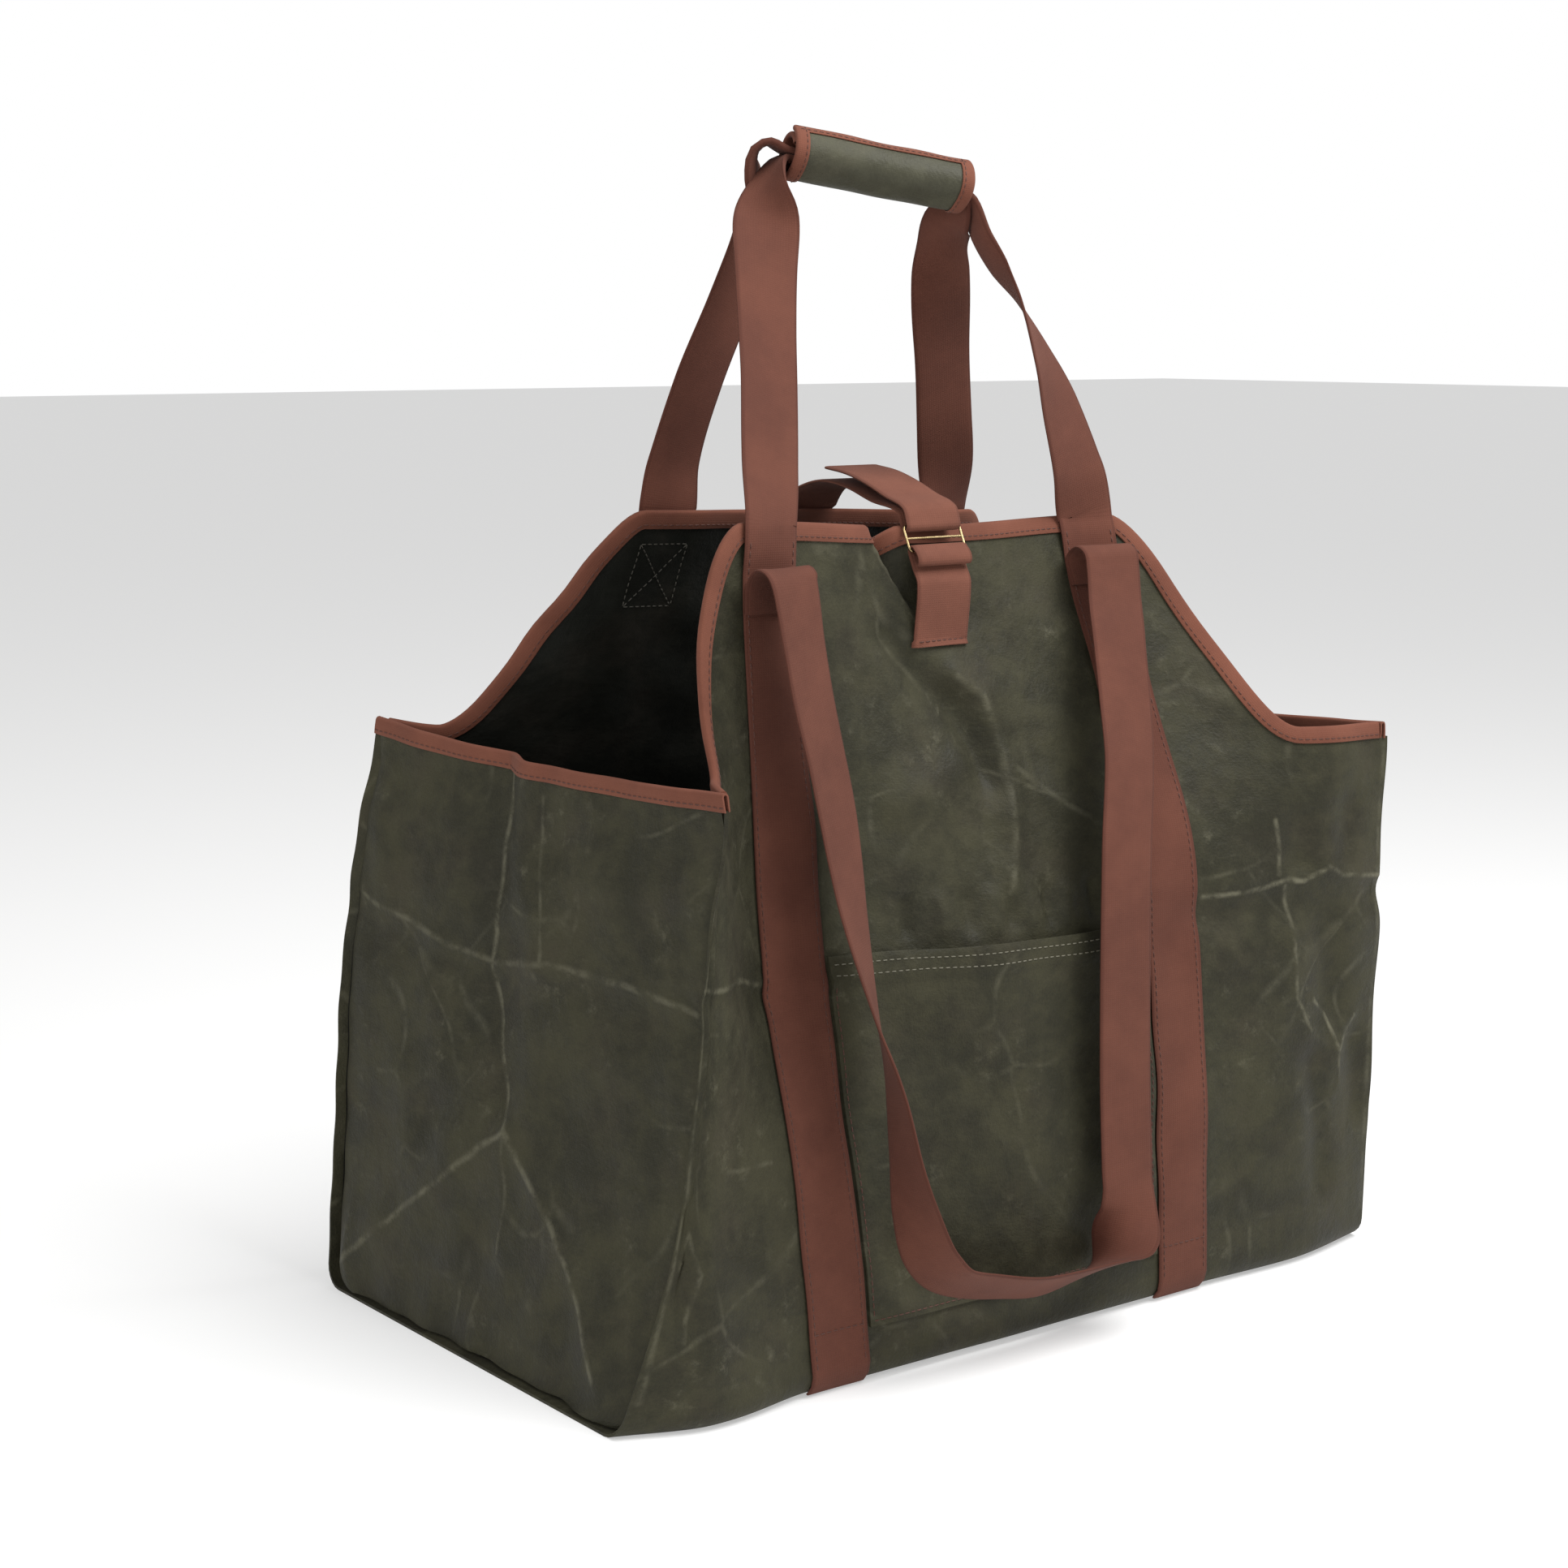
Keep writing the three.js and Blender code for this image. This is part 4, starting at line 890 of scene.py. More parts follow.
def makeStitches(name, runs, finish):
    starts = np.cumsum([0] + [len(points) for points, _ in runs])
    faces = np.concatenate([part + start for (_, part), start in zip(runs, starts)])
    points = np.concatenate([points for points, _ in runs])
    cloth = np.stack([points[:, 0] + points[:, 1], points[:, 2]], -1)
    makePiece(name, points, faces, cloth, [finish])


# Bindings: a tape folded over a cloth edge. cutAt(depth) gives points and normals along the edge
edgeTape = {"thick": 1.0, "depth": 8.0, "seam": 2.4, "stitch": (4.2, 3.3, 0.34), "sewn": (1, -1)}
tapeLegs = (1.0, 0.94, 0.5, 0.0)  # shares of the depth
tapeTurn = np.radians([30, 60, 90, 120, 150])
turnAcross = [-0.5, -1.0, -1.5, -1.0, -0.5]
tapeInward = 2.0  # depth that gives the way in from the edge
tapeRounding = 0.3  # share of the thickness


def tapeLoops(cutAt, tape):
    inner = canvas / 2 + clearance
    outer = inner + tape["thick"]
    legs = [cutAt(tape["depth"] * share) for share in tapeLegs]
    edge, normal = legs[-1]
    near, _ = cutAt(tapeInward)
    inward = unit(near - edge)

    def contour(away, lower):
        aways = [lower] + [away] * (len(legs) - 1)
        loop = [point + out * leg for (point, out), leg in zip(legs, aways)]
        for angle in tapeTurn:
            loop.append(edge + normal * away * math.cos(angle) - inward * away * math.sin(angle))
        back = [point - out * leg for (point, out), leg in zip(legs, aways)]
        return loop + back[::-1]

    outside = contour(outer, outer - tape["thick"] * tapeRounding)
    return np.stack(outside + contour(inner, inner)[::-1], 1)


def bindEdge(name, cutAt, tape, node, place=np.asarray):
    leg = [tape["depth"] * share for share in tapeLegs]
    across = np.array((leg + turnAcross + leg[::-1]) * 2)
    makeLoft(name, place(tapeLoops(cutAt, tape)), across, tapeWeave, node)
    line, normal = cutAt(tape["depth"] - tape["seam"])
    high = canvas / 2 + clearance + tape["thick"]
    runs = [stitchRun(line + side * normal * high, side * normal, tape["stitch"]) for side in tape["sewn"]]
    return [(place(points), faces) for points, faces in runs]


def wallEdge(wall, x):
    slope = (cutHeight(x + 1) - cutHeight(x - 1)) / 2
    size = np.hypot(1, slope)

    def cutAt(depth):
        place = x + depth * slope / size
        up = cutHeight(x) - depth / size
        return wallSurface(wall, place, up), wallNormal(wall, place, up)

    return cutAt


def endEdge(end, across):
    def cutAt(depth):
        share = np.full_like(across, 1 - depth / endHeight)
        return endSurface(end, across, share), endNormal(end, across, share)

    return cutAt


wallTapeRows = 190
endTapeRows = 110
endOver = 0.014  # an end's tape reaches into the seams by this share of its width
edgePlaces = np.linspace(baseLeft + bindingStart, baseRight - bindingStart, wallTapeRows)
endPlaces = np.linspace(-endOver, 1 + endOver, endTapeRows)
boundEdges = [
    ("frontBinding", wallEdge(frontWall, edgePlaces), "front_edge_binding"),
    ("backBinding", wallEdge(backWall, edgePlaces), "back_edge_binding"),
    ("leftBinding", endEdge(leftEnd, endPlaces), "left_end_binding"),
    ("rightBinding", endEdge(rightEnd, endPlaces), "right_end_binding"),
]
bindingRuns = []
for name, cutAt, node in boundEdges:
    bindingRuns += bindEdge(name, cutAt, edgeTape, node)
makeStitches("bindingStitches", bindingRuns, brownThread)
print("log bag: bindings built")

# Webbing: a flat woven strap with soft edges. Across runs from edge to edge, thick is the half thickness
webAcross = np.array([-1, -0.96, -0.82, -0.5, 0, 0.5, 0.82, 0.96, 1])
webThick = np.array([0.35, 0.85, 1, 1, 1, 1, 1, 0.85, 0.35])
sectionAcross = np.concatenate([webAcross, webAcross[::-1]])
sectionThick = np.concatenate([webThick, -webThick[::-1]])
strapOffset = canvas / 2 + clearance + webbing / 2
strapFace = strapOffset + webbing / 2
overTape = {"below": [0, 9, 24], "lift": [2.3, 1.7, 0.0]}  # a strip climbs over the edge's tape
foldedWidth = 17.0
foldedThick = 3.6
foldedCup = {"depth": 3.5, "middle": 0.4}  # webbing cups where it is being folded


def strapLift(below):
    return np.interp(below, overTape["below"], overTape["lift"])


# A strap that lies on a wall, at distances below the wall's cut edge
def lyingLoops(wall, firstX, secondX, below):
    x = (firstX + secondX) / 2 + sectionAcross * (secondX - firstX) / 2
    x = np.broadcast_to(x, (len(below), len(x)))
    up = cutHeight(x) - np.asarray(below)[:, None]
    away = strapOffset + strapLift(below)[:, None] + sectionThick * webbing / 2
    return offCloth(wall, x, up, np.broadcast_to(away, x.shape))


# A strap in the air through rows of middle, across, width and thickness
def freeLoops(rows, facing, step, first=0, last=-1):
    middle, across, width, thick = [np.array(column, float) for column in zip(*rows)]
    stops = lengthAlong(middle)
    count = int((stops[last] - stops[first]) / step)
    at = np.linspace(stops[first], stops[last], count)
    centre = np.stack([through(stops, middle[:, k], at) for k in range(3)], -1)
    wide = np.stack([through(stops, across[:, k], at) for k in range(3)], -1)
    tangent = unit(np.gradient(centre, axis=0))
    wide = unit(wide - tangent * np.sum(wide * tangent, axis=-1, keepdims=True))
    normal = np.cross(wide, tangent) * facing
    breadth = through(stops, width, at)[:, None, None]
    depth = through(stops, thick, at)[:, None, None]
    folded = np.clip((strapWidth - breadth) / (strapWidth - foldedWidth), 0, 1)
    cup = foldedCup["depth"] * np.sin(math.pi * folded) * (sectionAcross ** 2 - foldedCup["middle"])[:, None]
    out = normal[:, None] * (sectionThick[:, None] * depth / 2 + cup)
    return centre[:, None] + wide[:, None] * sectionAcross[:, None] * breadth / 2 + out


def airRow(x, y, z, heading, width=strapWidth, thick=webbing, lift=0.0):
    turn = math.radians(heading)
    tip = math.radians(lift)
    across = (math.cos(tip) * math.cos(turn), math.cos(tip) * math.sin(turn), math.sin(tip))
    return (x, y, z), across, width, thick


def lyingRow(loop):
    first, second = loop[[0, len(webAcross) - 1]]
    return loop.mean(axis=0), unit(second - first), strapWidth, webbing


def buildStrap(name, loops, node, finish=strapWeave):
    makeLoft(name, loops, sectionAcross * strapWidth / 2, finish, node)


# Where the grip is. It turns to the front and slopes down to the right, both in radians
grip = {"middle": np.array([-3.5, -30.0, 633.5]), "turn": -0.31, "slope": 0.165, "length": 102.0}
layerOffset = 2.5  # from the grip's middle to each handle's webbing in it


def inGrip(along, layer, heading):
    level = along * math.cos(grip["slope"])
    x, y, z = grip["middle"]
    x += level * math.cos(grip["turn"])
    y += level * math.sin(grip["turn"])
    return (x, y, z - along * math.sin(grip["slope"]) + layer, heading, foldedWidth, foldedThick)


# Handles. Columns: x, y, z, heading of the width, then width and thickness where the webbing is folded
frontHandle = [
    (-114, -81, 482, 7),
    (-101, -63, 522, 6),
    (-92, -49, 554, 2),
    (-83, -36, 585, -6),
    (-76, -27, 607, -26, 36, 1.8),
    (-70, -20, 625, -74, 26, 2.6),
    inGrip(-56, -layerOffset, -106),
    inGrip(-40, -layerOffset, -108),
    inGrip(40, -layerOffset, -108),
    inGrip(55, -layerOffset, -108),
    (59, -45, 600, -106, 26, 2.6),
    (68, -50, 583, -110, 33, 1.8),
    (77, -58, 566, -127),
    (90, -67, 531, -150),
    (99, -70, 506, -165),
    (112, -71, 471, -177),
]
backHandle = [
    (-107, 16, 478, 188),
    (-96, 8, 521, 191),
    (-80, 3, 560, 195),
    (-67, 2, 590, 199, 37, 1.8),
    (-61, 2, 612, 205, 35, 1.8),
    (-62, 1, 628, 215, 30, 2.0),
    (-68, -4, 637, 225, 25, 2.4),
    (-69, -8, 645, 232, 22, 2.8),
    (-63, -11, 649, 244, 19, 3.2),
    inGrip(-53, layerOffset, 252),
    inGrip(-40, layerOffset, 252),
    inGrip(40, layerOffset, 252),
    inGrip(51, layerOffset, 252),
    (48, -38, 617, 265, 24, 2.8),
    (50, -27, 607, 285, 29, 2.2),
    (58, -14, 594, 315, 29, 1.8),
    (66, -4, 580, 335, 34, 1.8),
    (85, 17, 542, 356),
    (101, 33, 494, 354),
    (111, 43, 466, 354),
]
# The strips on the walls end in the base fold. They are sewn from above it to below the cut edge.
# A lead is the count of lying rows by which a free strap's curve starts on the wall
strip = {
    "foot": 5.3, "rows": 130, "lead": 6, "edge": 3.2,
    "stitch": (4.4, 3.5, 0.34), "sewnFoot": 14, "sewnTop": 8,
}
sewnBelow = np.linspace(panelHeight - strip["sewnFoot"], strip["sewnTop"], seamPoints["wall"])
handleStep = 3.5


def handleLoops(wall, leftX, rightX, handle):
    below = np.linspace(panelHeight - strip["foot"], 0, strip["rows"])
    left = lyingLoops(wall, *leftX, below)
    right = lyingLoops(wall, *rightX, below[::-1])
    rows = [lyingRow(left[k]) for k in (-1 - strip["lead"], -1)]
    rows += [airRow(*row) for row in handle]
    rows += [lyingRow(right[k]) for k in (0, strip["lead"])]
    free = freeLoops(rows, 1, handleStep, 1, -2)
    return np.concatenate([left, free[1:-1], right])


frontLoops = handleLoops(frontWall, (-strapOuter, -strapInner), (strapOuter, strapInner), frontHandle)
backLoops = handleLoops(backWall, (-strapInner, -strapOuter), (strapInner, strapOuter), backHandle)
buildStrap("frontStrap", frontLoops, "front_strap")
buildStrap("backStrap", backLoops, "back_strap")

# The shoulder strap's ends are sewn flat on the strips
sewnGap = 0.4
sewnAway = strapOffset + webbing + sewnGap


def sewnRow(x, up, heading):
    return (*offCloth(frontWall, x, up, sewnAway), heading, 0)


# Shoulder strap: each end is sewn on a strip, bends over and hangs down in front as a loop.
# Columns: x, y, z, heading and lift of the width
shoulderLoop = [
    sewnRow(-124, 409, 7),
    sewnRow(-124, 423, 8),
    (-124, -99.3, 424.7, 10, 0),
    (-124, -106, 427.5, 12, 0),
    (-124, -112.7, 424.7, 14, 0),
    (-123.4, -116, 416.6, 16, -2),
    (-120.5, -118.5, 391.6, 19, -3),
    (-116.5, -121.5, 362, 20, -3),
    (-110.4, -124, 332.5, 22, -3),
    (-105.3, -127, 303, 22, -3),
    (-103.5, -131.5, 278, 25, -3),
    (-102.8, -138.5, 249.4, 32, -4),
    (-98, -153, 193, 53, 0),
    (-98.5, -168, 159, 67, -3),
    (-98, -177, 124, 79, -5),
    (-92, -180, 92, 95, -11),
    (-84.5, -181, 72, 98, -26),
    (-72, -181, 58, 92, -31),
    (-49.5, -181, 49, 90, -34),
    (-22, -181, 42.3, 90, -32),
    (6, -180, 38.5, 90, -35),
    (34, -179, 39.6, 91, -29),
    (49, -178.5, 42.3, 98, -22),
    (58.5, -176.5, 50.3, 128, -10),
    (65, -173, 63.5, 166, -3),
    (66.7, -170.6, 78.3, 180, 0),
    (66.6, -169.6, 92.3, 180, 0),
    (69, -164, 150, 180, 0),
    (76, -155, 262, 181, 1),
    (88.2, -143, 312, 183, 3),
    (98.5, -128, 344.5, 180, 3),
    (109, -111, 378.7, 178, 3),
    (116.1, -100, 398.6, 177, 2),
    (120, -93.5, 417, 176, 1),
    (120.5, -91, 424, 175, 0),
    (121.5, -83.8, 426.9, 175, 0),
    (122.8, -76.5, 424, 174, 0),
    sewnRow(124, 430, 174),
    sewnRow(124, 416, 174),
]
shoulderStep = 2.2
shoulderRows = [airRow(x, y, z, heading, lift=lift) for x, y, z, heading, lift in shoulderLoop]
buildStrap("shoulderStrap", freeLoops(shoulderRows, -1, shoulderStep), "shoulder_strap")


# A row of stitches on a wall, on its outer side or on its inner one
def wallRun(wall, x, up, away, stitch, side=1):
    x, up, away = np.broadcast_arrays(np.asarray(x, float), up, away)
    return stitchRun(offCloth(wall, x, up, away), side * wallNormal(wall, x, up), stitch)


# A stitched box with a cross, seen inside where each strap leaves the wall. Places are shares of the box
boxStitch = {
    "low": 402.0, "high": 438.0, "stitch": (3.6, 2.8, 0.36),
    "lines": [[(0, 0), (1, 0), (1, 1), (0, 1), (0, 0), (1, 1)], [(0, 1), (1, 0)]],
}


def boxRuns(wall, side):
    runs = []
    for line in boxStitch["lines"]:
        for start, end in zip(line[:-1], line[1:]):
            share = np.linspace(start, end, seamPoints["short"])
            x = side * (strapInner + strip["edge"] + share[:, 0] * (strapWidth - 2 * strip["edge"]))
            up = boxStitch["low"] + share[:, 1] * (boxStitch["high"] - boxStitch["low"])
            runs.append(wallRun(wall, x, up, -canvas / 2, boxStitch["stitch"], -1))
    return runs


strapRuns = []
boxes = []
for wall in (frontWall, backWall):
    for side in (-1, 1):
        for x in (strapInner + strip["edge"], strapOuter - strip["edge"]):
            up = cutHeight(side * x) - sewnBelow
            away = strapFace + strapLift(sewnBelow)
            strapRuns.append(wallRun(wall, side * x, up, away, strip["stitch"]))
        boxes += boxRuns(wall, side)
makeStitches("strapStitches", strapRuns, brownThread)
makeStitches("boxStitches", boxes, darkThread)
print("log bag: straps built")

# Front pocket: a canvas patch between the straps with a hem along its mouth
pocket = {
    "foot": 30.0, "mouth": 226.0, "side": 103.0, "gap": 0.1, "columns": 80, "rows": 90,
    "open": 5.5, "openAcross": 0.8, "openUp": 3,  # how far the mouth stands open, and its two powers
    "hem": 15.0, "hemThick": 1.0, "hemStep": 0.5, "hemRows": (4.5, 10.5), "rolled": 2.0, "rollDepth": 0.7,
    "hemStitch": (4.0, 2.8, 0.34), "footSeam": 3.0, "sideSeam": 2.5, "sideSewn": (35, 222),
}
plainStitch = (4.0, 3.2, 0.34)
seamEnd = 2.0  # seams stop this far from an edge


def pocketSurface(x, up):
    share = np.clip((up - pocket["foot"]) / (pocket["mouth"] - pocket["foot"]), 0, 1)
    inward = np.maximum(np.cos(math.pi / 2 * x / pocket["side"]), 0)
    opened = pocket["open"] * inward ** pocket["openAcross"] * share ** pocket["openUp"]
    return offCloth(frontWall, x, up, canvas + clearance + pocket["gap"] + opened)


def pocketNormal(x, up):
    return slopeNormal(pocketSurface, x, up, clothStep, clothStep)


def buildPocket():
    x = np.linspace(-pocket["side"], pocket["side"], pocket["columns"])
    up = np.linspace(pocket["foot"], pocket["mouth"], pocket["rows"])[:, None]
    x, up = np.broadcast_arrays(x, up)
    fromMouth = pocket["mouth"] - up
    hem = pocket["hemThick"] / (1 + np.exp((fromMouth - pocket["hem"]) / pocket["hemStep"]))
    rolled = np.clip(1 - fromMouth / pocket["rolled"], 0, 1) ** 2
    outward = canvas / 2 + hem - pocket["rollDepth"] * rolled
    grid = pocketSurface(x, up)
    normals = pocketNormal(x, up)
    finishes = [pocketCanvas, shadedInsideCanvas]
    makeCloth("frontPocket", grid, normals, np.stack([x, up], -1), finishes, "front_pocket", outward)


def pocketRun(x, up, away, stitch):
    x, up = np.broadcast_arrays(np.asarray(x, float), np.asarray(up, float))
    normal = pocketNormal(x, up)
    return stitchRun(pocketSurface(x, up) + normal * away, normal, stitch)


buildPocket()
hemLine = np.linspace(-pocket["side"] + seamEnd, pocket["side"] - seamEnd, seamPoints["pocket"])
hemAway = canvas / 2 + pocket["hemThick"]
hemRuns = []
for below in pocket["hemRows"]:
    hemRuns.append(pocketRun(hemLine, pocket["mouth"] - below, hemAway, pocket["hemStitch"]))
makeStitches("hemStitches", hemRuns, paleThread)
footUp = pocket["foot"] + pocket["footSeam"]
footRuns = [pocketRun(hemLine, footUp, canvas / 2, plainStitch)]
sideUp = np.linspace(*pocket["sideSewn"], seamPoints["pocket"])
for side in (-1, 1):
    sideX = side * (pocket["side"] - pocket["sideSeam"])
    footRuns.append(pocketRun(sideX, sideUp, canvas / 2, plainStitch))
    stripX = np.linspace(strapInner + seamEnd, strapOuter - seamEnd, seamPoints["short"]) * side
    footRuns.append(wallRun(frontWall, stripX, footUp, strapFace, plainStitch))
makeStitches("pocketStitches", footRuns, brownThread)
print("log bag: pocket built")

# Closure: a tab on the front wall, a strap from the back wall and the brass slide that joins them
slide = {
    "y": -78.5, "z": 437.0, "lean": 0.44, "width": 41.0, "bar": 1.5, "slot": 5.9, "corner": 2.5,
    "wrapGap": 1.0, "sides": 12, "turnPoints": 7, "barPoints": 12, "middleThinner": 0.1,
}
slidePitch = slide["bar"] + slide["slot"]
wrapRadius = slide["bar"] / 2 + slide["wrapGap"] + webbing / 2
bandStep = 1.2
# The tab's foot and lies are heights up the wall. Behind is up from the slide, roll is up and out from it.
# The strap goes over the mouth, and back as a tail, through points x, y, z
tab = {
    "foot": 389.6, "lies": 392.5, "rows": 5, "seam": 3.0, "behind": (-26, -16),
    "roll": [(-9.5, 0.9), (-12.5, 1.4), (-15.3, 0.6), (-16.2, -1.2), (-14.6, -2.2)],
}
closure = {
    "rows": 30, "lead": 5, "above": 17,
    "over": [(0, 26, 457), (0, 15, 462), (0, -2, 465), (0, -24, 462.5), (0, -46, 456)],
    "tail": [(0, -58, 459), (0, -42, 465), (0, -24, 470), (0, -5, 472.5)],
}


def slidePoint(up, out):
    y = slide["y"] + up * math.sin(slide["lean"]) - out * math.cos(slide["lean"])
    return (0.0, y, slide["z"] + up * math.cos(slide["lean"]) + out * math.sin(slide["lean"]))


def slideTurn(barUp, fromAngle, toAngle):
    turns = np.radians(np.linspace(fromAngle, toAngle, slide["turnPoints"]))
    return [slidePoint(barUp + wrapRadius * math.sin(turn), wrapRadius * math.cos(turn)) for turn in turns]


# A strap that goes on from where it lies on a wall
def bandLoops(lying, path, facing):
    rows = [(point, (facing, 0.0, 0.0), strapWidth, webbing) for point in path]
    return np.concatenate([lying, freeLoops(rows, 1, bandStep, 1)[1:]])


half = strapWidth / 2
tabUp = np.linspace(tab["foot"], tab["lies"], tab["rows"])
tabLying = lyingLoops(frontWall, -half, half, panelHeight - tabUp)
tabPath = [tabLying[k].mean(axis=0) for k in (0, -1)]
tabPath += [slidePoint(up, -wrapRadius) for up in tab["behind"]]
tabPath += slideTurn(-slidePitch, 180, 0)
tabPath += [slidePoint(up, wrapRadius + out) for up, out in tab["roll"]]
buildStrap("closureTab", bandLoops(tabLying, tabPath, 1.0), "closure_tab", closureWeave)

backUp = np.linspace(tab["foot"], panelHeight, closure["rows"])
backLying = lyingLoops(backWall, half, -half, panelHeight - backUp)
closurePath = [backLying[k].mean(axis=0) for k in (-1 - closure["lead"], -1)]
closurePath += closure["over"]
closurePath += [slidePoint(closure["above"], -wrapRadius)]
closurePath += slideTurn(slidePitch, 180, 360)
closurePath += [slidePoint(closure["above"], wrapRadius)]
closurePath += closure["tail"]
buildStrap("closureStrap", bandLoops(backLying, closurePath, -1.0), "closure_strap", closureWeave)


def rodLoops(path, radius, joined):
    path = np.asarray(path, float)
    if joined:
        tangent = unit(np.roll(path, -1, axis=0) - np.roll(path, 1, axis=0))
    else:
        tangent = unit(np.gradient(path, axis=0))
    out = np.array([0.0, -math.cos(slide["lean"]), math.sin(slide["lean"])])
    side = np.cross(tangent, out)
    angles = np.arange(slide["sides"]) * 2 * math.pi / slide["sides"]
    rings = [path + radius * (side * math.cos(angle) + out * math.sin(angle)) for angle in angles]
    return np.stack(rings, 1)


def buildSlide():
    corner = slide["corner"]
    radius = slide["bar"] / 2
    wide = (slide["width"] - slide["bar"]) / 2
    path = []
    for sideX, sideUp, start in ((1, 1, 0), (-1, 1, 90), (-1, -1, 180), (1, -1, 270)):
        for angle in np.radians(np.linspace(start, start + 90, slide["turnPoints"])):
            x = sideX * (wide - corner) + corner * math.cos(angle)
            _, y, z = slidePoint(sideUp * (slidePitch - corner) + corner * math.sin(angle), 0.0)
            path.append((x, y, z))
    bar = [(x, *slidePoint(0.0, 0.0)[1:]) for x in np.linspace(-wide, wide, slide["barPoints"])]
    thinner = radius - slide["middleThinner"]
    rods = [("closureSlide", path, radius, True), ("closureBar", bar, thinner, False)]
    for name, line, size, joined in rods:
        points, faces = loftSolid(rodLoops(line, size, joined), joined)
        makePiece(name, points, faces, points[:, [0, 2]], [brassMetal], "closure_slide")


buildSlide()
tabLine = np.linspace(-half + tab["seam"], half - tab["seam"], seamPoints["tab"])
tabRuns = [wallRun(frontWall, tabLine, tab["foot"] + tab["seam"], strapFace, plainStitch)]
makeStitches("tabStitches", tabRuns, brownThread)
print("log bag: closure built")

# Grip: canvas wrapped round both handles, its flap on top, its edges bound
wrap = {
    "radius": 11.5, "overlap": 3.8, "flapAngle": 75.0, "turn": 400.0, "settles": (0.14, 0.32),
    "cut": 90.0, "columns": 60, "rows": 120,
}
gripTape = {"thick": 0.6, "depth": 6.0, "seam": 1.6, "stitch": (3.6, 2.8, 0.28), "sewn": (1,)}
gripWaves = clothWaves(count=6, longest=60, shortest=18, height=0.12)
wrapStep = {"share": 0.004, "along": 0.5}
gripTapeRows = {"end": 110, "flap": 40}


def gripPlace(local):
    turnCos, turnSin = math.cos(grip["turn"]), math.sin(grip["turn"])
    slopeCos, slopeSin = math.cos(grip["slope"]), math.sin(grip["slope"])
    aboutZ = np.array([[turnCos, -turnSin, 0], [turnSin, turnCos, 0], [0, 0, 1]])
    aboutY = np.array([[slopeCos, 0, slopeSin], [0, 1, 0], [-slopeSin, 0, slopeCos]])
    return local @ (aboutZ @ aboutY).T + grip["middle"]


def wrapSurface(share, x):
    share, x = np.broadcast_arrays(np.asarray(share, float), np.asarray(x, float))
    angle = np.radians(wrap["flapAngle"] - wrap["turn"] * share)
    low, high = wrap["settles"]
    radius = wrap["radius"] + wrap["overlap"] * (1 - smooth((share - low) / (high - low)))
    radius = radius + waveHeight(gripWaves, x, share * wrap["cut"])
    return np.stack([x, -radius * np.cos(angle), radius * np.sin(angle)], -1)


def wrapNormal(share, x):
    point = wrapSurface(share, x)
    normal = slopeNormal(wrapSurface, share, x, wrapStep["share"], wrapStep["along"])
    return normal * np.sign(np.sum(normal[..., 1:] * point[..., 1:], axis=-1, keepdims=True))


def buildGrip():
    share = np.linspace(0, 1, wrap["rows"])[:, None]
    x = np.linspace(-grip["length"] / 2, grip["length"] / 2, wrap["columns"])
    cloth = np.stack(np.broadcast_arrays(x, share * wrap["cut"]), -1)
    grid = wrapSurface(share, x)
    normals = wrapNormal(share, x)
    makeCloth("gripWrap", grid, normals, cloth, [gripCanvas, shadedInsideCanvas], "grip_wrap", place=gripPlace)


# The wrap's bound edges: up one end, along the flap and down the other end
def gripEdge():
    end = grip["length"] / 2
    perShare = math.radians(wrap["turn"]) * (wrap["radius"] + wrap["overlap"])
    climb = np.linspace(1, 0, gripTapeRows["end"])
    flap = np.linspace(-end, end, gripTapeRows["flap"])[1:-1]
    share = np.concatenate([climb, np.zeros_like(flap), climb[::-1]])
    x = np.concatenate([np.full_like(climb, -end), flap, np.full_like(climb, end)])
    inX = np.concatenate([np.ones_like(climb), np.zeros_like(flap), -np.ones_like(climb)])
    inShare = np.zeros_like(x)
    inShare[len(climb) - 1:len(climb) + len(flap) + 1] = 1 / perShare

    def cutAt(depth):
        place = share + inShare * depth
        along = x + inX * depth
        return wrapSurface(place, along), wrapNormal(place, along)

    return cutAt


buildGrip()
gripRuns = bindEdge("gripBinding", gripEdge(), gripTape, "grip_binding", gripPlace)
makeStitches("gripStitches", gripRuns, brownThread)
print("log bag: grip built")

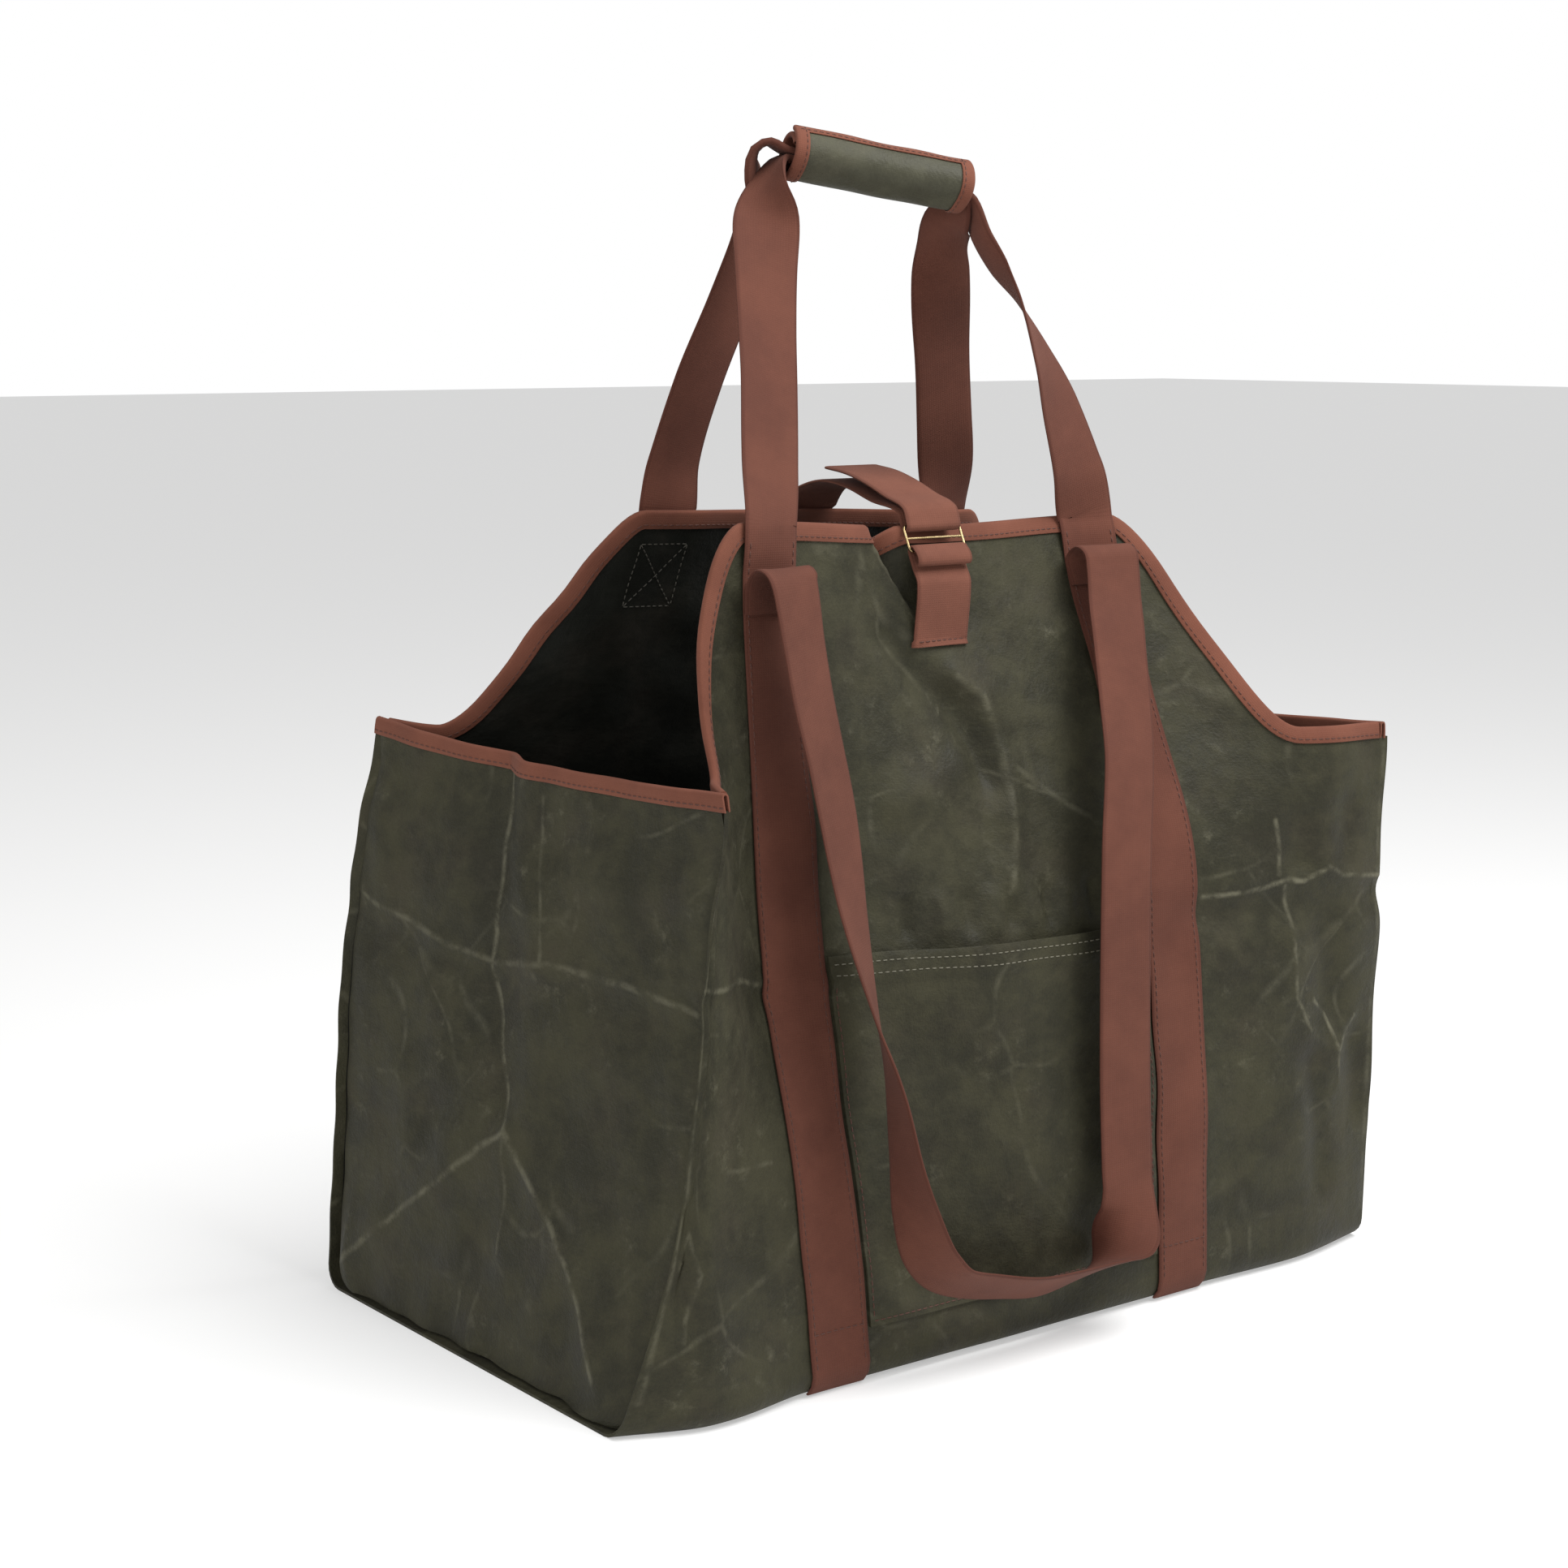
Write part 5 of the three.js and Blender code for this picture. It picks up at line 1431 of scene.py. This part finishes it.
# Floor, light and camera, in metres
floorPaper = {"reach": 20, "colour": (0.62, 0.62, 0.616, 1.0), "glow": 0.42, "rough": 0.9}
white = (1.0, 1.0, 1.0, 1.0)
lampsAim = Vector((0.0, -0.05, 0.28))
keyLamp = {"place": (0.53, -0.92, 1.9), "size": 1.4, "power": 47.0}
fillLamp = {"place": (-2.2, -0.9, 1.5), "size": 2.2, "power": 24.0}
skyLight = {"unseen": 0.4, "seen": 1.0}  # as it lights the bag, and as the camera sees it
photoView = {"place": (-1.0123, -1.2609, 0.5517), "down": 9.24, "turn": -37.1, "lens": 64.84, "sensor": 36.0}


def addObject(name, data):
    thing = bpy.data.objects.new(name, data)
    bpy.context.scene.collection.objects.link(thing)
    return thing


def buildFloor():
    far = floorPaper["reach"]
    mesh = bpy.data.meshes.new("floor")
    mesh.from_pydata([(-far, -far, 0), (far, -far, 0), (far, far, 0), (-far, far, 0)], [], [(0, 1, 2, 3)])
    finish = bpy.data.materials.new("floorPaper")
    finish.use_nodes = True
    setInputs(finish.node_tree, finish.node_tree.nodes["Principled BSDF"], {
        "Base Color": floorPaper["colour"],
        "Emission Color": white,
        "Emission Strength": floorPaper["glow"],
        "Roughness": floorPaper["rough"],
    })
    mesh.materials.append(finish)
    return addObject("floor", mesh)


def softLamp(name, place, size, power):
    data = bpy.data.lights.new(name, "AREA")
    data.shape = "DISK"
    data.size = size
    data.energy = power
    lamp = addObject(name, data)
    lamp.location = place
    lamp.rotation_euler = (Vector(place) - lampsAim).to_track_quat("Z", "Y").to_euler()


floor = buildFloor()
softLamp("keyLamp", **keyLamp)
softLamp("fillLamp", **fillLamp)

world = bpy.data.worlds.new("studio")
bpy.context.scene.world = world
world.use_nodes = True
sky = world.node_tree
seen = addNode(sky, "ShaderNodeLightPath").outputs["Is Camera Ray"]
levels = {"Value": seen, "To Min": skyLight["unseen"], "To Max": skyLight["seen"]}
brightness = addNode(sky, "ShaderNodeMapRange", levels).outputs[0]
setInputs(sky, sky.nodes["Background"], {"Strength": brightness, "Color": white})
bpy.context.scene.view_settings.view_transform = "Standard"

cameraData = bpy.data.cameras.new("photoCamera")
cameraData.lens = photoView["lens"]
cameraData.sensor_width = photoView["sensor"]
camera = addObject("photoCamera", cameraData)
camera.location = photoView["place"]
camera.rotation_euler = (math.radians(90 - photoView["down"]), 0.0, math.radians(photoView["turn"]))
bpy.context.scene.camera = camera
print("log bag: stage set")
